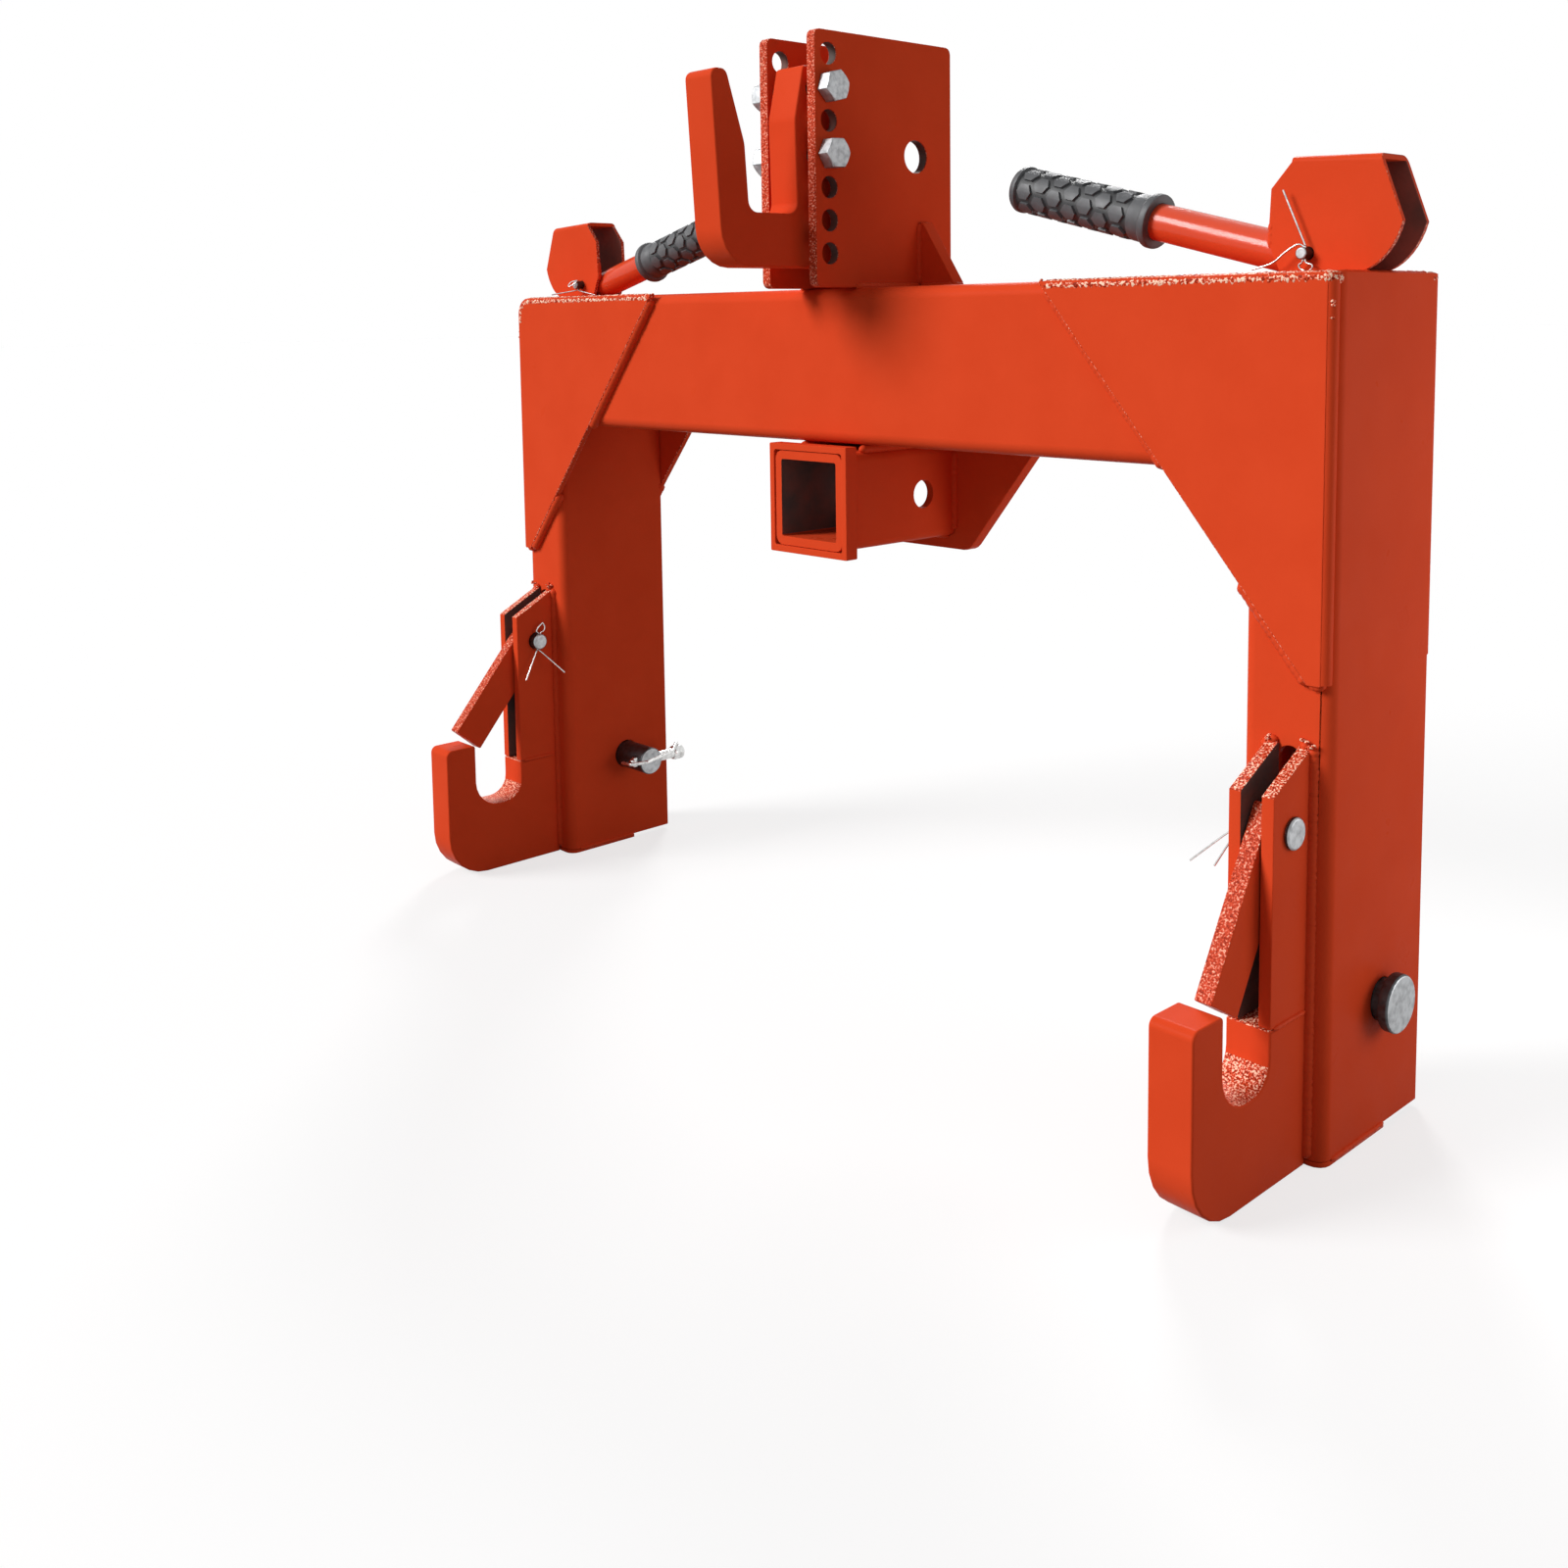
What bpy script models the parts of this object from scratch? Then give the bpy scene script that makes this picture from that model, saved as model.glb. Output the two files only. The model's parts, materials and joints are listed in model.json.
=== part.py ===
"""Three point receiver hitch: a welded frame with latching hooks, a top hook and a receiver tube.

Metres, +Z up. X runs along the cross beam, -Y faces the implement and +Y faces the tractor.
Every place below is measured from the middle of the beam's front face, at the height of its top.
The root empty carries that point, so that the world's origin lies on the floor under the hitch.
"""
import math

import bmesh
import bpy
from mathutils import Matrix, Vector

# Clearances
SEAT = 0.0003            # between pieces that touch or are welded together
RUNNING = 0.0004         # radial, round a pin in its hole
SLIDING = 0.0010         # radial, round the lift rod in the beam
CUTTER_PAST = 0.010      # how far a cutter reaches past what it cuts
CUT_CORNER = 0.001       # the corners of a cut plate
PIN_CHAMFER = 0.001

# Frame: a square beam on two folded channels
HALF_WIDTH = 0.3624      # from the middle to a leg's outer face
FRAME_DROP = 0.4595      # from the beam's top to the floor
BEAM_SIZE = 0.1016
BEAM_WALL = 0.005
BEAM_CORNER = 0.008
LEG_WIDTH = 0.0508
LEG_WALL = 0.005
LEG_CORNER = 0.008
FOOT_THICKNESS = 0.0027
FOOT_SETBACK = 0.0366    # from the leg's rear edge

# Gussets between beam and legs
GUSSET_THICKNESS = 0.005
GUSSET_LENGTH = 0.179    # along the beam
GUSSET_SETBACK = 0.0034  # its straight edge, from the leg's outer face
GUSSET_DROP = 0.206
GUSSET_TOE = 0.008       # width of its lower end

# Mast: two drilled plates with a rib each, and the hook bolted between them
MAST_GAP = 0.037
MAST_THICKNESS = 0.0075
MAST_FRONT = -0.031
MAST_SETBACK = 0.0066    # its rear edge, from the beam's rear face
MAST_CORNER = 0.0045
MAST_HOLE = 0.014
MAST_HOLE_ROW = -0.019   # the row of holes, from the beam's front face
MAST_FIRST_HOLE = 0.0216
MAST_PITCH = 0.0207
MAST_HOLES = 7
MAST_LAST_HOLE = 0.0142   # from the plates' top
TOP_LINK_HOLE = 0.0215
TOP_LINK_HOLE_INSET = 0.0345  # from the mast plates' rear edge
TOP_LINK_HOLE_HEIGHT = 0.0863
RIB_THICKNESS = 0.010
RIB_INSET = 0.032        # its front face, from the mast plates' rear edge
RIB_HEIGHT = 0.043
RIB_FOOT = 0.030
RIB_BLUNT = 0.003

# Hooks
HOOK_THICKNESS = 0.0254
HOOK_REACH = 0.104       # from the beam's front face to the hooks' front faces
TOP_HOOK_BOTTOM = 0.013
TOP_HOOK_SEAT = 0.0465   # height of its throat
TOP_HOOK_SEAT_CORNER = 0.0075
TOP_HOOK_TIP = 0.1315
TOP_HOOK_TIP_WIDTH = 0.0125
TOP_HOOK_TIP_ROUND = 0.0055
TOP_HOOK_NOSE = 0.088    # height where the nose starts to narrow
TOP_HOOK_HEEL = 0.025    # radius of its lower front corner
TOP_HOOK_LEAN = 0.0075   # its heel, behind its tip
TOP_HOOK_TOP = 0.1395
TOP_HOOK_STEM = 0.0345   # from the beam's front face to the stem's front edge
TOP_HOOK_THROAT = 0.040
TOP_HOOK_THROAT_LEAN = 0.003
TOP_HOOK_SHOULDER = 0.106    # height where the stem's front edge turns back
TOP_HOOK_SHOULDER_STEP = 0.0015
TOP_HOOK_TOP_STEP = 0.006
TOP_HOOK_ROUND = 0.020   # the long bends of nose and stem
TOP_HOOK_CORNER = 0.003
HOOK_BOLT = 0.0125
HOOK_BOLT_HEAD = 0.009
HOOK_BOLT_FLATS = 0.018
HOOK_NUT = 0.011
HOOK_BOLT_HOLES = {"lower": 3, "upper": 5}
HOOK_BOLT_TURN = {"lower": 0.05, "upper": 0.25}   # how far each hexagon is turned
HOOK_NUT_TURN = 0.20     # of a nut, past its bolt's head
HOOK_BOLT_END = 0.003    # past the nut
HEX_FACE = 0.97          # a hexagon's round face, as a share of its flats
HEX_CHAMFER = math.radians(30.0)
HEX_SPACE = 0.001        # round a hexagon's corners, in its turned form

# Lower hooks, heights above the floor
HOOK_OFFSET = 0.003      # outwards of the leg's middle
HOOK_TIP_HEIGHT = 0.1045
HOOK_SEAT_HEIGHT = 0.0535
HOOK_REAR_HEIGHT = 0.0835
HOOK_TIP_SHARE = 0.25    # the tip's length, of the reach
HOOK_THROAT_SHARE = 0.4038   # the throat's width, of the reach
HOOK_HEEL = 0.034        # radius of the lower front curve
HOOK_TIP_FRONT = 0.005   # radius of the tip's front corner
HOOK_TIP_REAR = 0.002

# Latches and their cheeks
CHEEK_THICKNESS = 0.007
CHEEK_TOP_HEIGHT = 0.2215
CHEEK_FRONT_HEIGHT = 0.2025
LATCH_THICKNESS = 0.010
LATCH_WIDTH = 0.027
LATCH_TIP_GAP = {"left": -0.0116, "right": 0.0010}   # its front corner, behind the hook's tip
LATCH_TIP_RISE = {"left": 0.0120, "right": 0.0025}   # and above it
LATCH_BEND = 0.002       # radius between arm and tail, at the top
LATCH_PIVOT_HEIGHT = 0.181
LATCH_PIN = 0.0127
LATCH_PIN_HEAD = 0.017
LATCH_PIN_HEAD_LENGTH = 0.0025
LATCH_PIN_TAIL = 0.0070  # past the inner cheek
TAIL_RADIUS = 0.0118     # round the eye in the latch's tail
TAIL_FILLET = 0.008
EYE_CLEARANCE = 0.0006
FULL_ROUND = 0.999       # a half round end, as a share of its half width
WEB_SLOT_WIDTH = 0.014
WEB_SLOT_ABOVE = 0.0385  # above the latch pivot

# Lift rods
ROD = 0.012
ROD_OFFSET = 0.012       # from the leg's middle, inwards
ROD_SETBACK = 0.0018     # from the beam's middle, forwards
ROD_TOP = 0.008          # above the lever pin
ROD_BEND = 0.007
ROD_FOOT_PAST = 0.004    # its bent end, past the latch
LIFT = 0.0424            # travel of the rod

# Levers: a folded bracket with a cam edge that rocks on the beam's top
LEVER_SWING = math.radians(90.0)
CAM_END = math.radians(75.0)
LEVER_PIN = 0.00635
LEVER_PIN_HEIGHT = 0.0105
LEVER_PIN_TAIL = 0.007   # past the front cheek
LEVER_PIN_HEAD = 0.010
LEVER_PIN_HEAD_LENGTH = 0.003
LEVER_PIN_CHAMFER = 0.0005
BRACKET_SHEET = 0.003
BRACKET_GAP = 0.022
BRACKET_TOP = 0.0505     # above the lever pin
BRACKET_OUTER_TOP = 0.0483
BRACKET_OUTER = 0.0384
BRACKET_BEND = 0.004
BRACKET_START = -0.0100  # where its top begins, outwards of the lever pin
BRACKET_INNER = ((-0.0216, 0.0345), (-0.0230, 0.0069))    # its inner edge, from the lever pin
CAM_START = -0.0155
HANDLE = 0.0213
HANDLE_WALL = 0.0026
HANDLE_RISE = math.atan(0.2566)
HANDLE_ROOT_INSET = 0.012    # where the tube's axis starts, inwards of the rod
HANDLE_AXIS_INSET = 0.0322   # the point of its axis at this height
HANDLE_AXIS_HEIGHT = 0.015

# Grips
GRIP = 0.0275
GRIP_LENGTH = 0.103
GRIP_FLANGE = 0.0315
GRIP_FLANGE_LENGTH = 0.005
GRIP_TIP = 0.0285
GRIP_TIP_LENGTH = 0.005
GRIP_END = 0.0035        # thickness of its closed end
GRIP_SPACE = 0.0015      # between that and the tube's end
GRIP_EDGE = 0.001
GRIP_INSET = {"left": 0.075, "right": 0.100}   # the start of each, inwards of the rod

# Receiver
TUBE_SIZE = 0.0635
TUBE_BORE = 0.0516
TUBE_CORNER = 0.006
TUBE_INNER_CORNER = 0.0015
TUBE_GAP = 0.00475       # between the beam and the tube
TUBE_FRONT = -0.017
TUBE_PAST_SUPPORT = 0.005
TUBE_PIN_HOLE = 0.0190
TUBE_PIN_BACK = 0.0770   # from the tube's front
COLLAR_SIZE = 0.073
COLLAR_CORNER = 0.002    # inside, tighter than the tube's own corners
COLLAR_FRONT = -0.018
COLLAR_REAR = -0.008
SUPPORT_SETBACK = 0.0006     # from the beam's rear face
SUPPORT_THICKNESS = 0.010
SUPPORT_HALF_TOP = 0.1065
SUPPORT_HALF_BOTTOM = 0.0445
SUPPORT_SKIRT = 0.0409   # below the tube's axis
SUPPORT_CORNER = 0.010

# Lower link pins with their lynch pins
LINK_PIN = 0.022
LINK_PIN_INSET = 0.0426  # from the leg's rear edge
LINK_PIN_HEIGHT = 0.0745
LINK_PIN_REACH = 0.0854  # its inner end, from the leg's outer face
LINK_PIN_HEAD = 0.0315
LINK_PIN_HEAD_LENGTH = 0.006
LINK_PIN_HEAD_OUT = 0.0115   # its outer face, from the leg's outer face
LYNCH_PIN = 0.0085
LYNCH_INSET = 0.008      # its axis, from the link pin's end
LYNCH_TIP = 0.016        # in front of the link pin's axis
LYNCH_HEAD_Y = 0.033     # behind the link pin's axis
LYNCH_HEAD = 0.012
LYNCH_HEAD_LENGTH = 0.011
LYNCH_ROUND = 0.002
LYNCH_POINT = 0.003      # length of its tapered tip
BAIL_WIRE = 0.003
# The bail's route from its hinge: inwards, forwards, up, and the bend's radius
BAIL_ROUTE = (
    (0.0, 0.0, -0.004, 0.0),
    (0.0, 0.0, 0.0090, 0.0030),
    (0.0160, -0.0170, 0.0070, 0.0060),
    (0.0160, -0.0440, 0.0030, 0.0050),
    (0.0070, -0.0535, 0.0010, 0.0050),
    (-0.0050, -0.0535, 0.0, 0.0),
)
COTTER_WIRE = 0.0016
# The lever cotter's route from its hole: outwards, forwards, up, and the bend's radius
LEVER_COTTER_ROUTE = (
    (0.0025, -0.0005, -0.0060, 0.0),
    (0.0, 0.0, -0.0046, 0.0010),
    (0.0, 0.0, 0.0040, 0.0010),
    (-0.0105, -0.0010, 0.0260, 0.0),
)
LEVER_COTTER_INSET = 0.0035  # its hole, from the lever pin's end
LATCH_COTTER_HEAD = 0.0045   # above the latch pin
LATCH_COTTER_LEG = 0.0060    # below it
LATCH_COTTER_BENT = 0.0040
LATCH_COTTER_BEND = 0.0020

# Derived places
SIDES = (("left", -1), ("right", 1))
FLOOR = -FRAME_DROP
BEAM_MIDDLE = BEAM_SIZE / 2
BEAM_END = HALF_WIDTH - LEG_WALL - SEAT
LEG_MIDDLE = HALF_WIDTH - LEG_WIDTH / 2
LEG_INNER = HALF_WIDTH - LEG_WIDTH
HOOK_X = LEG_MIDDLE + HOOK_OFFSET
LEG_BOTTOM = FLOOR + FOOT_THICKNESS + SEAT
FRAME_REAR = BEAM_SIZE + SEAT + GUSSET_THICKNESS
ROOT_Y = (HOOK_REACH - FRAME_REAR) / 2
MAST_INNER = MAST_GAP / 2
MAST_OUTER = MAST_INNER + MAST_THICKNESS
MAST_REAR = BEAM_SIZE - MAST_SETBACK
MAST_HEIGHT = MAST_FIRST_HOLE + (MAST_HOLES - 1) * MAST_PITCH + MAST_LAST_HOLE
RIB_FRONT = MAST_REAR - RIB_INSET
TUBE_DROP = BEAM_SIZE + TUBE_GAP + TUBE_SIZE / 2
SUPPORT_FRONT = BEAM_SIZE - SUPPORT_SETBACK - SUPPORT_THICKNESS
TUBE_REAR = SUPPORT_FRONT + SUPPORT_THICKNESS + TUBE_PAST_SUPPORT
HOOK_TIP_LENGTH = HOOK_REACH * HOOK_TIP_SHARE
HOOK_THROAT = HOOK_REACH * HOOK_THROAT_SHARE
CHEEK_DEPTH = HOOK_REACH - HOOK_TIP_LENGTH - HOOK_THROAT
LATCH_PIVOT_Y = -CHEEK_DEPTH / 2
LATCH_PIVOT_Z = FLOOR + LATCH_PIVOT_HEIGHT
ROD_X = LEG_MIDDLE - ROD_OFFSET
ROD_Y = BEAM_MIDDLE - ROD_SETBACK
LATCH_REACH = ROD_Y - LATCH_PIVOT_Y
LATCH_HALF_SWING = math.atan(LIFT / 2 / LATCH_REACH)
ROD_FOOT_Z = LATCH_PIVOT_Z - LIFT / 2
ROD_FOOT_X = HOOK_X + LATCH_THICKNESS / 2 + ROD_FOOT_PAST
CAM_RATE = LIFT / LEVER_SWING
CAM_BASE = LEVER_PIN_HEIGHT - SEAT
BRACKET_WIDTH = BRACKET_GAP + 2 * BRACKET_SHEET
HANDLE_AXIS_X = ROD_X - HANDLE_AXIS_INSET
HANDLE_ROOT = ROD_X - HANDLE_ROOT_INSET
GRIP_START = {name: ROD_X - inset for name, inset in GRIP_INSET.items()}
GRIP_BORE_LENGTH = GRIP_LENGTH - GRIP_END
HANDLE_TIP = max(GRIP_START.values()) - (GRIP_BORE_LENGTH - GRIP_SPACE) * math.cos(HANDLE_RISE)
LINK_PIN_Y = BEAM_SIZE - LINK_PIN_INSET
LINK_PIN_Z = FLOOR + LINK_PIN_HEIGHT
LINK_PIN_INNER = HALF_WIDTH - LINK_PIN_REACH
LYNCH_X = LINK_PIN_INNER + LYNCH_INSET
LYNCH_HINGE_Y = LINK_PIN_Y + LYNCH_HEAD_Y

# Finishes: colour, roughness, metallic
PAINT = ((0.78, 0.09, 0.035), 0.30, 0.0)
ZINC = ((0.55, 0.56, 0.57), 0.35, 1.0)
OXIDE = ((0.12, 0.13, 0.13), 0.45, 0.9)
STEEL = ((0.70, 0.70, 0.68), 0.25, 1.0)
RUBBER = ((0.03, 0.03, 0.035), 0.75, 0.0)

# How an outline drawn in local X and Y is stood up in each plane
PLANES = {
    "XY": (0.0, 0.0, 0.0),
    "XZ": (math.pi / 2, 0.0, 0.0),
    "YZ": (math.pi / 2, 0.0, math.pi / 2),
}
# Each plane's own two axes and the one that it leaves out
PLANE_AXES = {"XY": (0, 1, 2), "XZ": (0, 2, 1), "YZ": (1, 2, 0)}
# How a shape turned about local Z is laid along each axis
AXES = {
    "X": (0.0, math.pi / 2, 0.0),
    "-X": (0.0, -math.pi / 2, 0.0),
    "Y": (-math.pi / 2, 0.0, 0.0),
    "Z": (0.0, 0.0, 0.0),
}


def clear_scene():
    for obj in list(bpy.data.objects):
        bpy.data.objects.remove(obj, do_unlink=True)


def new_collection(name):
    collection = bpy.data.collections.new(name)
    bpy.context.scene.collection.children.link(collection)
    return collection


clear_scene()
PARTS = new_collection("receiver_hitch")
CUTTERS = new_collection("cutters")


def empty(name, point, parent=None):
    """An empty on a joint's axis, placed by a point measured from the beam."""
    obj = bpy.data.objects.new(name, None)
    obj.empty_display_size = 0.02
    PARTS.objects.link(obj)
    place(obj, point, parent)
    return obj


def beam_point(parent):
    """Where an empty lies, measured from the beam."""
    point = Vector()
    while parent is not None and parent is not ROOT:
        point += parent.location
        parent = parent.parent
    return point


def place(obj, point, parent):
    obj.parent = parent
    obj.location = Vector(point) - beam_point(parent)


ROOT = bpy.data.objects.new("hitch_root", None)
PARTS.objects.link(ROOT)
ROOT.location = (0.0, ROOT_Y, FRAME_DROP)


def coat(obj, finish):
    """Give a piece its own Principled material."""
    colour, roughness, metallic = finish
    material = bpy.data.materials.new(obj.name)
    material.use_nodes = True
    shader = material.node_tree.nodes["Principled BSDF"]
    shader.inputs["Base Color"].default_value = (*colour, 1.0)
    shader.inputs["Roughness"].default_value = roughness
    shader.inputs["Metallic"].default_value = metallic
    material.diffuse_color = (*colour, 1.0)
    obj.data.materials.clear()
    obj.data.materials.append(material)


def finished(name, mesh, point, rotation, finish, parent):
    obj = bpy.data.objects.new(name, mesh)
    PARTS.objects.link(obj)
    place(obj, point, parent or ROOT)
    obj.rotation_euler = rotation
    coat(obj, finish)
    return obj


def as_cutter(name, mesh, point, rotation=(0.0, 0.0, 0.0), parent=None):
    obj = bpy.data.objects.new(name, mesh)
    CUTTERS.objects.link(obj)
    place(obj, point, parent or ROOT)
    obj.rotation_euler = rotation
    obj.hide_render = True
    obj.display_type = "WIRE"
    return obj


def apply_boolean(obj, other, operation):
    modifier = obj.modifiers.new(f"{operation.lower()}_{other.name}"[:60], "BOOLEAN")
    modifier.operation = operation
    modifier.solver = "EXACT"
    modifier.object = other


def cut(obj, other):
    apply_boolean(obj, other, "DIFFERENCE")


def join(obj, other):
    apply_boolean(obj, other, "UNION")


def keep_inside(obj, other):
    apply_boolean(obj, other, "INTERSECT")


def smooth_round(mesh, angle=35.0):
    mesh.shade_smooth()
    mesh.set_sharp_from_angle(angle=math.radians(angle))


def mesh_from_curve(curve):
    """The evaluated curve as a closed mesh, with its caps welded on."""
    holder = bpy.data.objects.new(curve.name, curve)
    bpy.context.scene.collection.objects.link(holder)
    bpy.context.view_layer.update()
    graph = bpy.context.evaluated_depsgraph_get()
    mesh = bpy.data.meshes.new_from_object(holder.evaluated_get(graph))
    bpy.data.objects.remove(holder, do_unlink=True)
    shape = bmesh.new()
    shape.from_mesh(mesh)
    bmesh.ops.remove_doubles(shape, verts=shape.verts, dist=1e-6)
    bmesh.ops.recalc_face_normals(shape, faces=shape.faces)
    shape.to_mesh(mesh)
    shape.free()
    smooth_round(mesh)
    return mesh


def fillet(corners, step=math.radians(15.0)):
    """Round the corners (u, v, radius) of a closed outline; a radius of 0 leaves it sharp."""
    points = []
    for index, (u, v, radius) in enumerate(corners):
        here = Vector((u, v))
        if not radius:
            points.append(here)
            continue
        before = Vector(corners[index - 1][:2]) - here
        after = Vector(corners[(index + 1) % len(corners)][:2]) - here
        room = 0.4999 * min(before.length, after.length)
        before.normalize()
        after.normalize()
        half = before.angle(after) / 2
        radius = min(radius, room * math.tan(half))
        middle = here + (before + after).normalized() * radius / math.sin(half)
        start = here + before * radius / math.tan(half) - middle
        end = here + after * radius / math.tan(half) - middle
        turn = start.angle_signed(end)
        steps = max(2, round(abs(turn) / step))
        points += [middle + Matrix.Rotation(-turn * i / steps, 2) @ start for i in range(steps + 1)]
    return points


def ring(u, v, radius, count=24):
    """A round hole in an outline."""
    turns = [2 * math.pi * i / count for i in range(count)]
    return [Vector((u + radius * math.cos(turn), v + radius * math.sin(turn))) for turn in turns]


def rounded_square(size, radius, u=0.0, v=0.0):
    half = size / 2
    signs = ((-1, -1), (1, -1), (1, 1), (-1, 1))
    return fillet([(u + a * half, v + b * half, radius) for a, b in signs], math.radians(22.5))


def sheet_mesh(name, loops, thickness):
    """A flat outline with its holes, as a filled curve that is extruded to its thickness."""
    curve = bpy.data.curves.new(name, "CURVE")
    curve.dimensions = "2D"
    curve.fill_mode = "BOTH"
    curve.extrude = thickness / 2
    for loop in loops:
        spline = curve.splines.new("POLY")
        spline.points.add(len(loop) - 1)
        for point, (u, v) in zip(spline.points, loop):
            point.co = (u, v, 0.0, 1.0)
        spline.use_cyclic_u = True
    return mesh_from_curve(curve)


def plate(name, loops, plane, middle, thickness, finish, parent=None):
    """A cut plate; middle is where its mid plane lies on the axis that the plane leaves out."""
    u, v, w = PLANE_AXES[plane]
    point = beam_point(parent or ROOT)
    pivot = Vector((point[u], point[v]))
    point[w] = middle
    mesh = sheet_mesh(name, [[Vector(corner) - pivot for corner in loop] for loop in loops], thickness)
    return finished(name, mesh, point, PLANES[plane], finish, parent)


def block_mesh(name, low, high):
    low, high = Vector(low), Vector(high)
    shape = bmesh.new()
    bmesh.ops.create_cube(shape, size=1.0)
    bmesh.ops.scale(shape, vec=high - low, verts=shape.verts)
    mesh = bpy.data.meshes.new(name)
    shape.to_mesh(mesh)
    shape.free()
    return mesh


def block_cutter(name, low, high):
    middle = (Vector(low) + Vector(high)) / 2
    return as_cutter(name, block_mesh(name, low, high), middle)


def drill(name, axis, point, diameter, length, parent=None, sides=24):
    """A round cutter along an axis, with its middle at a point."""
    shape = bmesh.new()
    bmesh.ops.create_cone(
        shape, cap_ends=True, segments=sides, radius1=diameter / 2, radius2=diameter / 2, depth=length
    )
    mesh = bpy.data.meshes.new(name)
    shape.to_mesh(mesh)
    shape.free()
    return as_cutter(name, mesh, point, AXES[axis], parent)


def turned(name, profile, axis, point, finish, parent=None, sides=24, closed=False):
    """A profile (radius, distance along the axis), from its far end to its near end, turned once."""
    mesh = bpy.data.meshes.new(name)
    points = [(radius, 0.0, along) for radius, along in profile]
    edges = [(i, i + 1) for i in range(len(points) - 1)]
    if closed:
        edges.append((len(points) - 1, 0))
    mesh.from_pydata(points, edges, [])
    obj = finished(name, mesh, point, AXES[axis], finish, parent)
    screw = obj.modifiers.new("turn", "SCREW")
    screw.angle = 2 * math.pi
    screw.steps = sides
    screw.render_steps = sides
    screw.use_merge_vertices = True
    screw.merge_threshold = 1e-5
    screw.use_smooth_shade = False
    return obj


def path(corners, step=math.radians(15.0)):
    """A wire's route through corners (x, y, z, bend radius), with each bend as an arc."""
    points = [Vector(corners[0][:3])]
    for index in range(1, len(corners) - 1):
        here = Vector(corners[index][:3])
        before = Vector(corners[index - 1][:3]) - here
        after = Vector(corners[index + 1][:3]) - here
        before.normalize()
        after.normalize()
        half = before.angle(after) / 2
        radius = corners[index][3]
        middle = here + (before + after).normalized() * radius / math.sin(half)
        start = here + before * radius / math.tan(half) - middle
        end = here + after * radius / math.tan(half) - middle
        turn = start.angle(end)
        normal = start.cross(end)
        steps = max(1, round(turn / step))
        points += [middle + Matrix.Rotation(turn * i / steps, 3, normal) @ start for i in range(steps + 1)]
    points.append(Vector(corners[-1][:3]))
    return points


def wire_mesh(name, points, diameter, resolution=2):
    curve = bpy.data.curves.new(name, "CURVE")
    curve.dimensions = "3D"
    curve.bevel_depth = diameter / 2
    curve.bevel_resolution = resolution
    curve.use_fill_caps = True
    spline = curve.splines.new("POLY")
    spline.points.add(len(points) - 1)
    for point, place_on_route in zip(spline.points, points):
        point.co = (*place_on_route, 1.0)
    return mesh_from_curve(curve)


def wire(name, points, diameter, finish, parent=None, resolution=2):
    """A round wire or rod along points that are measured from the beam."""
    shift = beam_point(parent or ROOT)
    mesh = wire_mesh(name, [point - shift for point in points], diameter, resolution)
    return finished(name, mesh, shift, (0.0, 0.0, 0.0), finish, parent)


# Frame

def cross_beam():
    outer = rounded_square(BEAM_SIZE, BEAM_CORNER, BEAM_MIDDLE, -BEAM_MIDDLE)
    inner = rounded_square(BEAM_SIZE - 2 * BEAM_WALL, BEAM_CORNER - BEAM_WALL, BEAM_MIDDLE, -BEAM_MIDDLE)
    beam = plate("cross_beam", [outer, inner], "YZ", 0.0, 2 * BEAM_END, PAINT)
    for name, side in SIDES:
        hole = (side * ROD_X, ROD_Y, -BEAM_MIDDLE)
        cut(beam, drill(f"beam_rod_hole_{name}", "Z", hole, ROD + 2 * SLIDING, 1.2 * BEAM_SIZE))


def leg(name, side):
    """A folded channel, open at the rear, whose outer wall runs up and closes the beam's end."""
    inner_face = LEG_INNER
    corners = [
        (inner_face, BEAM_SIZE, 0),
        (inner_face, 0.0, LEG_CORNER),
        (HALF_WIDTH, 0.0, LEG_CORNER),
        (HALF_WIDTH, BEAM_SIZE, 0),
        (HALF_WIDTH - LEG_WALL, BEAM_SIZE, 0),
        (HALF_WIDTH - LEG_WALL, LEG_WALL, LEG_CORNER - LEG_WALL),
        (inner_face + LEG_WALL, LEG_WALL, LEG_CORNER - LEG_WALL),
        (inner_face + LEG_WALL, BEAM_SIZE, 0),
    ]
    channel = fillet([(side * x, y, r) for x, y, r in corners], math.radians(22.5))
    middle = LEG_BOTTOM / 2
    obj = plate(f"leg_{name}", [channel], "XY", middle, -LEG_BOTTOM, PAINT)
    notch_x = sorted((side * (inner_face - CUTTER_PAST), side * (HALF_WIDTH - LEG_WALL)))
    low = (notch_x[0], -CUTTER_PAST, -BEAM_SIZE - SEAT)
    high = (notch_x[1], BEAM_SIZE + CUTTER_PAST, CUTTER_PAST)
    cut(obj, block_cutter(f"beam_notch_{name}", low, high))
    cut(obj, web_slot(name, side))
    pin_hole = (side * LEG_MIDDLE, LINK_PIN_Y, LINK_PIN_Z)
    cut(obj, drill(f"link_pin_hole_{name}", "X", pin_hole, LINK_PIN + 2 * RUNNING, 1.2 * LEG_WIDTH, sides=32))


def web_slot(name, side):
    """The slot in the channel's web that the latch swings through, round at its top."""
    half = WEB_SLOT_WIDTH / 2
    top = LATCH_PIVOT_Z + WEB_SLOT_ABOVE
    bottom = FLOOR + HOOK_REAR_HEIGHT
    middle = side * HOOK_X
    corners = [
        (middle - half, bottom, 0),
        (middle + half, bottom, 0),
        (middle + half, top, half),
        (middle - half, top, half),
    ]
    mesh = sheet_mesh(f"web_slot_{name}", [fillet(corners)], 4 * LEG_WALL)
    return as_cutter(f"web_slot_{name}", mesh, (0.0, 0.0, 0.0), PLANES["XZ"])


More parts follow.
